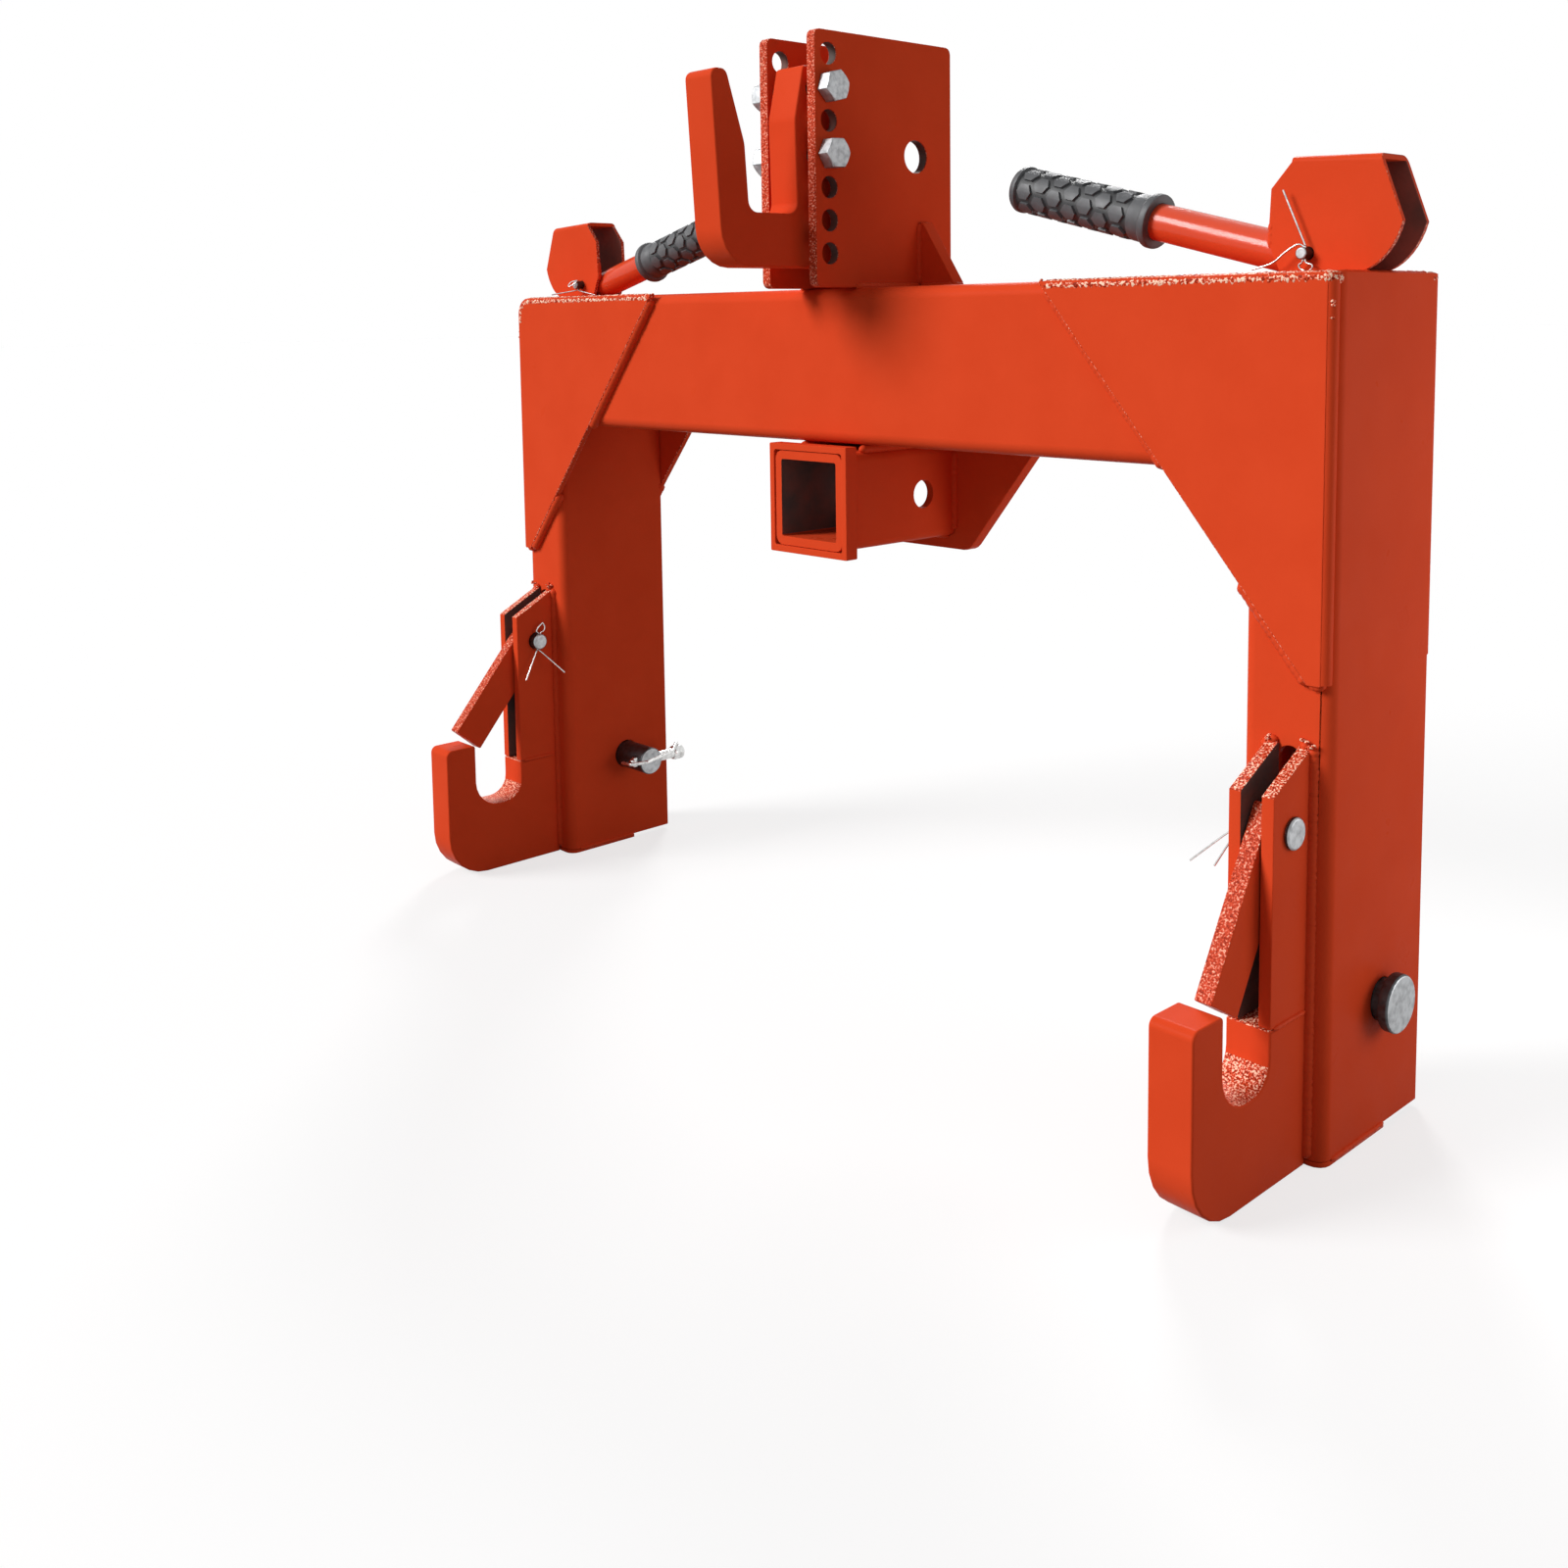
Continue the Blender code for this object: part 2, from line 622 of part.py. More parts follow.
def foot_plate(name, side):
    low, high = LEG_INNER, HALF_WIDTH
    depth = BEAM_SIZE - FOOT_SETBACK
    corners = [(low, 0.0, LEG_CORNER), (high, 0.0, LEG_CORNER), (high, depth, 0), (low, depth, 0)]
    outline = fillet([(side * x, y, r) for x, y, r in corners], math.radians(22.5))
    plate(f"foot_plate_{name}", [outline], "XY", FLOOR + FOOT_THICKNESS / 2, FOOT_THICKNESS, PAINT)


def gusset(name, side, front):
    """A triangular plate over the joint between beam and leg."""
    outer = HALF_WIDTH - GUSSET_SETBACK
    corners = [
        (outer - GUSSET_LENGTH, 0.0, CUT_CORNER),
        (outer, 0.0, CUT_CORNER),
        (outer, -GUSSET_DROP, CUT_CORNER),
        (outer - GUSSET_TOE, -GUSSET_DROP, CUT_CORNER),
    ]
    outline = fillet([(side * x, z, r) for x, z, r in corners], math.radians(45.0))
    middle = SEAT + GUSSET_THICKNESS / 2
    place_y = -middle if front else BEAM_SIZE + middle
    kind = "front" if front else "rear"
    plate(f"gusset_{kind}_{name}", [outline], "XZ", place_y, GUSSET_THICKNESS, PAINT)


# Mast and top hook

def mast_plate(name, side):
    corners = [
        (MAST_FRONT, SEAT, MAST_CORNER),
        (MAST_REAR, SEAT, MAST_CORNER),
        (MAST_REAR, SEAT + MAST_HEIGHT, MAST_CORNER),
        (MAST_FRONT, SEAT + MAST_HEIGHT, MAST_CORNER),
    ]
    loops = [fillet(corners, math.radians(30.0))]
    for index in range(MAST_HOLES):
        loops.append(ring(MAST_HOLE_ROW, MAST_FIRST_HOLE + index * MAST_PITCH, MAST_HOLE / 2, 20))
    loops.append(ring(MAST_REAR - TOP_LINK_HOLE_INSET, TOP_LINK_HOLE_HEIGHT, TOP_LINK_HOLE / 2, 32))
    middle = side * (MAST_INNER + MAST_THICKNESS / 2)
    plate(f"mast_plate_{name}", loops, "YZ", middle, MAST_THICKNESS, PAINT)


def mast_rib(name, side):
    near = MAST_OUTER + SEAT
    corners = [
        (near, SEAT, 0),
        (near + RIB_FOOT, SEAT, 0),
        (near + RIB_FOOT, SEAT + RIB_BLUNT, 0),
        (near + RIB_BLUNT, SEAT + RIB_HEIGHT, 0),
        (near, SEAT + RIB_HEIGHT, 0),
    ]
    outline = fillet([(side * x, z, r) for x, z, r in corners])
    plate(f"mast_rib_{name}", [outline], "XZ", RIB_FRONT + RIB_THICKNESS / 2, RIB_THICKNESS, PAINT)


def hook_bolt_height(place_name):
    return MAST_FIRST_HOLE + HOOK_BOLT_HOLES[place_name] * MAST_PITCH


def top_hook():
    front = -HOOK_REACH
    stem = -TOP_HOOK_STEM
    throat = stem - TOP_HOOK_THROAT
    corners = [
        (front, TOP_HOOK_TIP, TOP_HOOK_TIP_ROUND),
        (front + TOP_HOOK_LEAN, TOP_HOOK_BOTTOM, TOP_HOOK_HEEL),
        (0.0, TOP_HOOK_BOTTOM, TOP_HOOK_CORNER),
        (0.0, TOP_HOOK_TOP, TOP_HOOK_CORNER),
        (stem + TOP_HOOK_TOP_STEP, TOP_HOOK_TOP, TOP_HOOK_CORNER),
        (stem - TOP_HOOK_SHOULDER_STEP, TOP_HOOK_SHOULDER, TOP_HOOK_ROUND),
        (stem, TOP_HOOK_SEAT, TOP_HOOK_SEAT_CORNER),
        (throat, TOP_HOOK_SEAT, TOP_HOOK_SEAT_CORNER),
        (throat - TOP_HOOK_THROAT_LEAN, TOP_HOOK_NOSE, TOP_HOOK_ROUND),
        (front + TOP_HOOK_TIP_WIDTH, TOP_HOOK_TIP, TOP_HOOK_TIP_ROUND),
    ]
    loops = [fillet(corners)]
    for place_name in HOOK_BOLT_HOLES:
        loops.append(ring(MAST_HOLE_ROW, hook_bolt_height(place_name), HOOK_BOLT / 2 + RUNNING, 24))
    plate("top_hook", loops, "YZ", 0.0, HOOK_THICKNESS, PAINT)


def hexagon(flats, turn):
    radius = flats / math.sqrt(3)
    turns = [turn + math.pi / 3 * i for i in range(6)]
    return [Vector((radius * math.cos(angle), radius * math.sin(angle))) for angle in turns]


def hex_blank(name, flats, length, start, turn):
    """A hexagon along X from start, for a bolt's head or a nut."""
    mesh = sheet_mesh(name, [hexagon(flats, turn)], length)
    return as_cutter(name, mesh, start, PLANES["YZ"])


def chamfer_profile(flats, length, both_ends):
    """The turned form that takes the corners off a hexagon."""
    wide = flats / math.sqrt(3) + HEX_SPACE
    face = flats / 2 * HEX_FACE
    depth = (wide - face) * math.tan(HEX_CHAMFER)
    far = [(0.0, length / 2), (face, length / 2), (wide, length / 2 - depth)]
    near = [(wide, depth - length / 2), (face, -length / 2)] if both_ends else [(wide, -length / 2)]
    return [*far, *near, (0.0, -length / 2)]


def hook_bolt(place_name):
    """A hex head bolt through both mast plates and the hook, with its nut on the other side."""
    height = hook_bolt_height(place_name)
    turn = HOOK_BOLT_TURN[place_name]
    head_middle = MAST_OUTER + SEAT + HOOK_BOLT_HEAD / 2
    point = (head_middle, MAST_HOLE_ROW, height)
    name = f"hook_bolt_{place_name}"
    bolt = turned(name, chamfer_profile(HOOK_BOLT_FLATS, HOOK_BOLT_HEAD, False), "X", point, ZINC)
    keep_inside(bolt, hex_blank(f"{name}_hexagon", HOOK_BOLT_FLATS, 2 * HOOK_BOLT_HEAD, point, turn))
    end = -MAST_OUTER - SEAT - HOOK_NUT - HOOK_BOLT_END
    start = head_middle
    middle = ((start + end) / 2, MAST_HOLE_ROW, height)
    join(bolt, drill(f"{name}_shank", "X", middle, HOOK_BOLT, start - end, sides=24))

    name = f"hook_nut_{place_name}"
    point = (-MAST_OUTER - SEAT - HOOK_NUT / 2, MAST_HOLE_ROW, height)
    nut = turned(name, chamfer_profile(HOOK_BOLT_FLATS, HOOK_NUT, True), "X", point, ZINC)
    keep_inside(nut, hex_blank(f"{name}_hexagon", HOOK_BOLT_FLATS, 2 * HOOK_NUT, point, turn + HOOK_NUT_TURN))
    cut(nut, drill(f"{name}_bore", "X", point, HOOK_BOLT + 2 * SEAT, 2 * HOOK_NUT, sides=24))


# Receiver

def receiver_tube():
    outer = rounded_square(TUBE_SIZE, TUBE_CORNER, 0.0, -TUBE_DROP)
    wall = (TUBE_SIZE - TUBE_BORE) / 2
    inner = rounded_square(TUBE_BORE, max(TUBE_CORNER - wall, TUBE_INNER_CORNER), 0.0, -TUBE_DROP)
    middle = (TUBE_FRONT + TUBE_REAR) / 2
    tube = plate("receiver_tube", [outer, inner], "XZ", middle, TUBE_REAR - TUBE_FRONT, PAINT)
    hole = (0.0, TUBE_FRONT + TUBE_PIN_BACK, -TUBE_DROP)
    cut(tube, drill("receiver_pin_hole", "X", hole, TUBE_PIN_HOLE, 1.3 * TUBE_SIZE, sides=32))


def receiver_collar():
    """The square ring round the tube's mouth, square at its corners."""
    outer = rounded_square(COLLAR_SIZE, CUT_CORNER, 0.0, -TUBE_DROP)
    inner = rounded_square(TUBE_SIZE + 2 * SEAT, COLLAR_CORNER, 0.0, -TUBE_DROP)
    middle = (COLLAR_FRONT + COLLAR_REAR) / 2
    plate("receiver_collar", [outer, inner], "XZ", middle, COLLAR_REAR - COLLAR_FRONT, PAINT)


def receiver_support():
    """The hanger plate under the beam that the tube's rear end passes through."""
    top = -BEAM_SIZE - SEAT
    bottom = -TUBE_DROP - SUPPORT_SKIRT
    corners = [
        (-SUPPORT_HALF_TOP, top, CUT_CORNER),
        (SUPPORT_HALF_TOP, top, CUT_CORNER),
        (SUPPORT_HALF_BOTTOM, bottom, SUPPORT_CORNER),
        (-SUPPORT_HALF_BOTTOM, bottom, SUPPORT_CORNER),
    ]
    inner = rounded_square(TUBE_SIZE + 2 * SEAT, TUBE_CORNER + SEAT, 0.0, -TUBE_DROP)
    middle = SUPPORT_FRONT + SUPPORT_THICKNESS / 2
    plate("receiver_support", [fillet(corners), inner], "XZ", middle, SUPPORT_THICKNESS, PAINT)


# Lower hooks and latches

def lower_hook(name, side):
    back = -SEAT
    throat_front = -HOOK_REACH + HOOK_TIP_LENGTH
    throat_back = throat_front + HOOK_THROAT
    seat = FLOOR + HOOK_SEAT_HEIGHT
    corners = [
        (-HOOK_REACH, FLOOR + HOOK_TIP_HEIGHT, HOOK_TIP_FRONT),
        (-HOOK_REACH, FLOOR, HOOK_HEEL),
        (back, FLOOR, 0),
        (back, FLOOR + HOOK_REAR_HEIGHT, 0),
        (throat_back, FLOOR + HOOK_REAR_HEIGHT, CUT_CORNER),
        (throat_back, seat, HOOK_THROAT / 2),
        (throat_front, seat, HOOK_THROAT / 2),
        (throat_front, FLOOR + HOOK_TIP_HEIGHT, HOOK_TIP_REAR),
    ]
    plate(f"lower_hook_{name}", [fillet(corners)], "YZ", side * HOOK_X, HOOK_THICKNESS, PAINT)


def cheek_offset():
    """How far a cheek's mid plane lies from the hook's."""
    return (HOOK_THICKNESS - CHEEK_THICKNESS) / 2


def latch_cheek(name, side, outer):
    """One of the two plates that carry the latch pin, on top of the hook's rear part."""
    front = -CHEEK_DEPTH
    bottom = FLOOR + HOOK_REAR_HEIGHT + SEAT
    corners = [
        (-SEAT, FLOOR + CHEEK_TOP_HEIGHT, CUT_CORNER),
        (front, FLOOR + CHEEK_FRONT_HEIGHT, CUT_CORNER),
        (front, bottom, 0),
        (-SEAT, bottom, 0),
    ]
    hole = ring(LATCH_PIVOT_Y, LATCH_PIVOT_Z, LATCH_PIN / 2 + RUNNING)
    kind = "outer" if outer else "inner"
    offset = cheek_offset() if outer else -cheek_offset()
    middle = side * (HOOK_X + offset)
    plate(f"latch_cheek_{kind}_{name}", [fillet(corners), hole], "YZ", middle, CHEEK_THICKNESS, PAINT)


def meet(point, along, other, across):
    """Where two lines in the latch's plane cross."""
    share = (other - point).cross(across) / along.cross(across)
    return point + along * share


def latch(name, side, hinge):
    """A bell crank: the arm closes the hook's throat, the tail is lifted by the rod."""
    pivot = Vector((LATCH_PIVOT_Y, LATCH_PIVOT_Z))
    corner_y = -HOOK_REACH + HOOK_TIP_LENGTH + LATCH_TIP_GAP[name]
    reach = Vector((corner_y, FLOOR + HOOK_TIP_HEIGHT + LATCH_TIP_RISE[name])) - pivot
    length = math.sqrt(reach.length_squared - (LATCH_WIDTH / 2) ** 2)
    lean = math.atan2(-reach.x, -reach.y) - math.atan2(LATCH_WIDTH / 2, length)
    arm = Vector((-math.sin(lean), -math.cos(lean)))
    arm_back = Vector((math.cos(lean), -math.sin(lean))) * LATCH_WIDTH / 2
    tail = Vector((math.cos(LATCH_HALF_SWING), -math.sin(LATCH_HALF_SWING)))
    tail_up = Vector((math.sin(LATCH_HALF_SWING), math.cos(LATCH_HALF_SWING))) * TAIL_RADIUS
    end = pivot + arm * length
    eye_near = LATCH_REACH
    eye_far = LATCH_REACH / math.cos(LATCH_HALF_SWING)
    tip = pivot + tail * (eye_far + EYE_CLEARANCE + TAIL_RADIUS)
    corners = [
        (*(end - arm_back), CUT_CORNER),
        (*meet(pivot - arm_back, arm, pivot + tail_up, tail), LATCH_BEND),
        (*(tip + tail_up), TAIL_RADIUS * FULL_ROUND),
        (*(tip - tail_up), TAIL_RADIUS * FULL_ROUND),
        (*meet(pivot + arm_back, arm, pivot - tail_up, tail), TAIL_FILLET),
        (*(end + arm_back), CUT_CORNER),
    ]
    slot_half = Vector((tail_up.x, tail_up.y)).normalized() * (ROD / 2 + EYE_CLEARANCE)
    slot_start = pivot + tail * (eye_near - ROD / 2 - EYE_CLEARANCE)
    slot_end = pivot + tail * (eye_far + ROD / 2 + EYE_CLEARANCE)
    round_end = (ROD / 2 + EYE_CLEARANCE) * FULL_ROUND
    slot = [
        (*(slot_start - slot_half), round_end),
        (*(slot_end - slot_half), round_end),
        (*(slot_end + slot_half), round_end),
        (*(slot_start + slot_half), round_end),
    ]
    hole = ring(*pivot, LATCH_PIN / 2 + RUNNING)
    loops = [fillet(corners), fillet(slot), hole]
    plate(f"latch_{name}", loops, "YZ", side * HOOK_X, LATCH_THICKNESS, PAINT, hinge)


def latch_pin(name, side):
    """The latch's pin, with its head on the outer side and a cotter through its inner end."""
    head_start = HOOK_X + HOOK_THICKNESS / 2 + SEAT
    tail_end = HOOK_X - HOOK_THICKNESS / 2 - LATCH_PIN_TAIL
    head_end = head_start + LATCH_PIN_HEAD_LENGTH
    profile = [
        (0.0, head_end),
        (LATCH_PIN_HEAD / 2 - PIN_CHAMFER, head_end),
        (LATCH_PIN_HEAD / 2, head_end - PIN_CHAMFER),
        (LATCH_PIN_HEAD / 2, head_start),
        (LATCH_PIN / 2, head_start),
        (LATCH_PIN / 2, tail_end + PIN_CHAMFER),
        (LATCH_PIN / 2 - PIN_CHAMFER, tail_end),
        (0.0, tail_end),
    ]
    axis = "X" if side > 0 else "-X"
    point = (0.0, LATCH_PIVOT_Y, LATCH_PIVOT_Z)
    pin = turned(f"latch_pin_{name}", profile, axis, point, ZINC)
    hole_x = side * (tail_end + LATCH_PIN_TAIL / 2)
    hole = (hole_x, LATCH_PIVOT_Y, LATCH_PIVOT_Z)
    wire_gap = COTTER_WIRE + 2 * SEAT
    cut(pin, drill(f"latch_pin_hole_{name}", "Z", hole, wire_gap, 2 * LATCH_PIN, sides=12))
    reach = LATCH_PIN / 2
    legs = [
        (0.0, reach + LATCH_COTTER_HEAD, 0),
        (0.0, -reach - LATCH_COTTER_LEG, LATCH_COTTER_BEND),
        (LATCH_COTTER_BENT, -reach - LATCH_COTTER_LEG - LATCH_COTTER_BENT, 0),
    ]
    route = path([(hole_x - side * x, LATCH_PIVOT_Y, LATCH_PIVOT_Z + z, bend) for x, z, bend in legs])
    wire(f"latch_cotter_{name}", route, COTTER_WIRE, ZINC)


# Lift rods and levers

def lift_rod(name, side, slide):
    """A round rod through the beam, bent outwards at its foot into the latch's eye."""
    top = LEVER_PIN_HEIGHT + ROD_TOP
    corners = [
        (side * ROD_X, ROD_Y, top, 0),
        (side * ROD_X, ROD_Y, ROD_FOOT_Z, ROD_BEND),
        (side * ROD_FOOT_X, ROD_Y, ROD_FOOT_Z, 0),
    ]
    rod = wire(f"lift_rod_{name}", path(corners), ROD, ZINC, slide, resolution=6)
    hole = (side * ROD_X, ROD_Y, LEVER_PIN_HEIGHT)
    across = LEVER_PIN + 2 * RUNNING
    cut(rod, drill(f"rod_pin_hole_{name}", "Y", hole, across, 2 * ROD, slide, sides=16))


def cam_point(angle):
    """A point of the cam edge, from the lever pin: it touches the beam when the lever turns by angle."""
    height = CAM_BASE + CAM_RATE * angle
    down = Vector((math.sin(angle), -math.cos(angle)))
    ahead = Vector((math.cos(angle), math.sin(angle)))
    return down * height + ahead * CAM_RATE


def lever_bracket(name, side, hinge):
    """Sheet folded over at its top, open below and at its outer side, with the cam as lower edge."""
    pin = Vector((ROD_X, LEVER_PIN_HEIGHT))
    inner_edge = [
        (BRACKET_START, BRACKET_TOP),
        (BRACKET_START, BRACKET_TOP - BRACKET_SHEET),
        *BRACKET_INNER,
        (CAM_START, -CAM_BASE),
    ]
    cam = [cam_point(CAM_END * i / 12) for i in range(13)]
    outer_top = (BRACKET_OUTER, BRACKET_OUTER_TOP)
    outline = [pin + Vector(corner) for corner in (*inner_edge, *cam, outer_top)]
    mirrored = [Vector((side * x, z)) for x, z in outline]
    bracket = plate(f"lever_bracket_{name}", [mirrored], "XZ", ROD_Y, BRACKET_WIDTH, PAINT, hinge)
    round_folds(bracket)
    slope = (BRACKET_OUTER_TOP - BRACKET_TOP) / (BRACKET_OUTER - BRACKET_START)
    under = BRACKET_TOP - BRACKET_SHEET - slope * BRACKET_START
    clear = 2 * BRACKET_OUTER
    fold = [(-clear, under - clear * slope), (clear, under + clear * slope)]
    loop = [Vector((side * (pin.x + x), pin.y + z)) for x, z in (*fold, (clear, -clear), (-clear, -clear))]
    mesh = sheet_mesh(f"bracket_hollow_{name}", [loop], BRACKET_GAP)
    cut(bracket, as_cutter(f"bracket_hollow_{name}", mesh, (0.0, ROD_Y, 0.0), PLANES["XZ"]))
    hole = (side * ROD_X, ROD_Y, LEVER_PIN_HEIGHT)
    across = LEVER_PIN + 2 * RUNNING
    cut(bracket, drill(f"bracket_pin_hole_{name}", "Y", hole, across, 2 * BRACKET_WIDTH, sides=16))


def round_folds(bracket):
    """Bend the sheet's two long top edges."""
    mesh = bracket.data
    shape = bmesh.new()
    shape.from_mesh(mesh)
    bmesh.ops.dissolve_limit(shape, angle_limit=1e-3, verts=shape.verts, edges=shape.edges)
    top = min(BRACKET_TOP, BRACKET_OUTER_TOP) - BRACKET_SHEET / 3
    folds = []
    for edge in shape.edges:
        level = all(vert.co.y > top for vert in edge.verts)
        lengthwise = abs(edge.verts[0].co.z - edge.verts[1].co.z) < SEAT
        if level and lengthwise and edge.calc_length() > BRACKET_SHEET * 1.01:
            folds.append(edge)
    bmesh.ops.bevel(shape, geom=folds, offset=BRACKET_BEND, segments=4, profile=0.5, affect="EDGES")
    shape.to_mesh(mesh)
    shape.free()


def handle_frame(side):
    """The handle's axis: a point on it and its direction towards the middle, rising."""
    point = Vector((side * HANDLE_AXIS_X, ROD_Y, HANDLE_AXIS_HEIGHT))
    direction = Vector((-side * math.cos(HANDLE_RISE), 0.0, math.sin(HANDLE_RISE)))
    return point, direction


def handle_point(side, distance_x):
    """The point of the handle's axis that lies distance_x from the middle."""
    point, direction = handle_frame(side)
    return point + direction * (HANDLE_AXIS_X - distance_x) / math.cos(HANDLE_RISE)


def handle_turn(side):
    """The rotation that lays local Z along the handle."""
    return (0.0, -side * (math.pi / 2 - HANDLE_RISE), 0.0)


def handle_tube(name, side, hinge):
    start = handle_point(side, HANDLE_ROOT)
    length = (HANDLE_ROOT - HANDLE_TIP) / math.cos(HANDLE_RISE)
    outer, inner = HANDLE / 2, HANDLE / 2 - HANDLE_WALL
    profile = [(outer, length), (outer, 0.0), (inner, 0.0), (inner, length)]
    tube = turned(f"handle_tube_{name}", profile, "Z", start, PAINT, hinge, closed=True)
    tube.rotation_euler = handle_turn(side)
    x_ends = sorted((side * (HANDLE_ROOT - 2 * HANDLE), side * (HANDLE_ROOT + HANDLE)))
    low = (x_ends[0], ROD_Y - HANDLE, -HANDLE)
    high = (x_ends[1], ROD_Y + HANDLE, 2 * SEAT)
    cut(tube, block_cutter(f"handle_trim_{name}", low, high))


def grip(name, side, hinge):
    """A rubber sleeve with a flange, open at the lever's side and closed at its tip."""
    start = handle_point(side, GRIP_START[name])
    bore = HANDLE / 2 + SEAT
    profile = [
        (0.0, GRIP_LENGTH),
        (GRIP_TIP / 2 - 2 * GRIP_EDGE, GRIP_LENGTH),
        (GRIP_TIP / 2, GRIP_LENGTH - 2 * GRIP_EDGE),
        (GRIP_TIP / 2, GRIP_LENGTH - GRIP_TIP_LENGTH),
        (GRIP / 2, GRIP_LENGTH - GRIP_TIP_LENGTH - GRIP_EDGE),
        (GRIP / 2, GRIP_FLANGE_LENGTH + GRIP_EDGE),
        (GRIP_FLANGE / 2, GRIP_FLANGE_LENGTH),
        (GRIP_FLANGE / 2, GRIP_EDGE),
        (GRIP_FLANGE / 2 - GRIP_EDGE, 0.0),
        (bore, 0.0),
        (bore, GRIP_BORE_LENGTH),
        (0.0, GRIP_BORE_LENGTH),
    ]
    sleeve = turned(f"grip_{name}", profile, "Z", start, RUBBER, hinge)
    sleeve.rotation_euler = handle_turn(side)


def lever_pin(name, side, hinge):
    """The pin through bracket and rod, head at the rear and cotter at the front."""
    front = ROD_Y - BRACKET_WIDTH / 2 - LEVER_PIN_TAIL
    rear = ROD_Y + BRACKET_WIDTH / 2 + SEAT
    head_end = rear + LEVER_PIN_HEAD_LENGTH
    profile = [
        (0.0, head_end),
        (LEVER_PIN_HEAD / 2, head_end),
        (LEVER_PIN_HEAD / 2, rear),
        (LEVER_PIN / 2, rear),
        (LEVER_PIN / 2, front + LEVER_PIN_CHAMFER),
        (LEVER_PIN / 2 - LEVER_PIN_CHAMFER, front),
        (0.0, front),
    ]
    point = (side * ROD_X, 0.0, LEVER_PIN_HEIGHT)
    pin = turned(f"lever_pin_{name}", profile, "Y", point, ZINC, hinge, sides=20)
    hole = Vector((side * ROD_X, front + LEVER_COTTER_INSET, LEVER_PIN_HEIGHT))
    wire_gap = COTTER_WIRE + 2 * SEAT
    cut(pin, drill(f"lever_pin_hole_{name}", "Z", hole, wire_gap, 2 * LEVER_PIN, hinge, sides=12))
    corners = [(hole.x + side * x, hole.y + y, hole.z + z, bend) for x, y, z, bend in LEVER_COTTER_ROUTE]
    route = path(corners)
    wire(f"lever_cotter_{name}", route, COTTER_WIRE, ZINC, hinge)


# Lower link pins

def link_pin(name, side):
    """The lower link pin through the channel, its head outside and its lynch pin inside."""
    head_end = HALF_WIDTH + LINK_PIN_HEAD_OUT
    head_start = head_end - LINK_PIN_HEAD_LENGTH
    profile = [
        (0.0, head_end),
        (LINK_PIN_HEAD / 2 - PIN_CHAMFER, head_end),
        (LINK_PIN_HEAD / 2, head_end - PIN_CHAMFER),
        (LINK_PIN_HEAD / 2, head_start),
        (LINK_PIN / 2, head_start),
        (LINK_PIN / 2, LINK_PIN_INNER + PIN_CHAMFER),
        (LINK_PIN / 2 - PIN_CHAMFER, LINK_PIN_INNER),
        (0.0, LINK_PIN_INNER),
    ]
    axis = "X" if side > 0 else "-X"
    pin = turned(f"link_pin_{name}", profile, axis, (0.0, LINK_PIN_Y, LINK_PIN_Z), OXIDE, sides=32)
    hole = (side * LYNCH_X, LINK_PIN_Y, LINK_PIN_Z)
    cut(pin, drill(f"lynch_hole_{name}", "Y", hole, LYNCH_PIN + 2 * RUNNING, 2 * LINK_PIN, sides=20))


def lynch_pin(name, side):
    """The lynch pin, tip to the front, with a cross hole in its head for the bail."""
    head_start = LYNCH_HEAD_Y - LYNCH_HEAD_LENGTH / 2
    head_end = LYNCH_HEAD_Y + LYNCH_HEAD_LENGTH / 2
    profile = [
        (0.0, head_end),
        (LYNCH_HEAD / 2 - LYNCH_ROUND, head_end),
        (LYNCH_HEAD / 2, head_end - LYNCH_ROUND),
        (LYNCH_HEAD / 2, head_start + LYNCH_ROUND),
        (LYNCH_HEAD / 2 - LYNCH_ROUND / 2, head_start),
        (LYNCH_PIN / 2, head_start),
        (LYNCH_PIN / 2, -LYNCH_TIP + LYNCH_POINT),
        (LYNCH_PIN / 2 - LYNCH_ROUND, -LYNCH_TIP),
        (0.0, -LYNCH_TIP),
    ]
    point = (side * LYNCH_X, LINK_PIN_Y, LINK_PIN_Z)
    pin = turned(f"lynch_pin_{name}", profile, "Y", point, STEEL, sides=20)
    hole = (side * LYNCH_X, LYNCH_HINGE_Y, LINK_PIN_Z)
    across = BAIL_WIRE + 2 * RUNNING
    cut(pin, drill(f"bail_hole_{name}", "Z", hole, across, 2 * LYNCH_HEAD, sides=12))


def lynch_bail(name, side, hinge):
    """The spring wire from the lynch pin's head, past the link pin's end, round the tip."""
    head = Vector((side * LYNCH_X, LYNCH_HINGE_Y, LINK_PIN_Z))
    route = path([(head.x - side * x, head.y + y, head.z + z, bend) for x, y, z, bend in BAIL_ROUTE])
    wire(f"lynch_bail_{name}", route, BAIL_WIRE, STEEL, hinge)


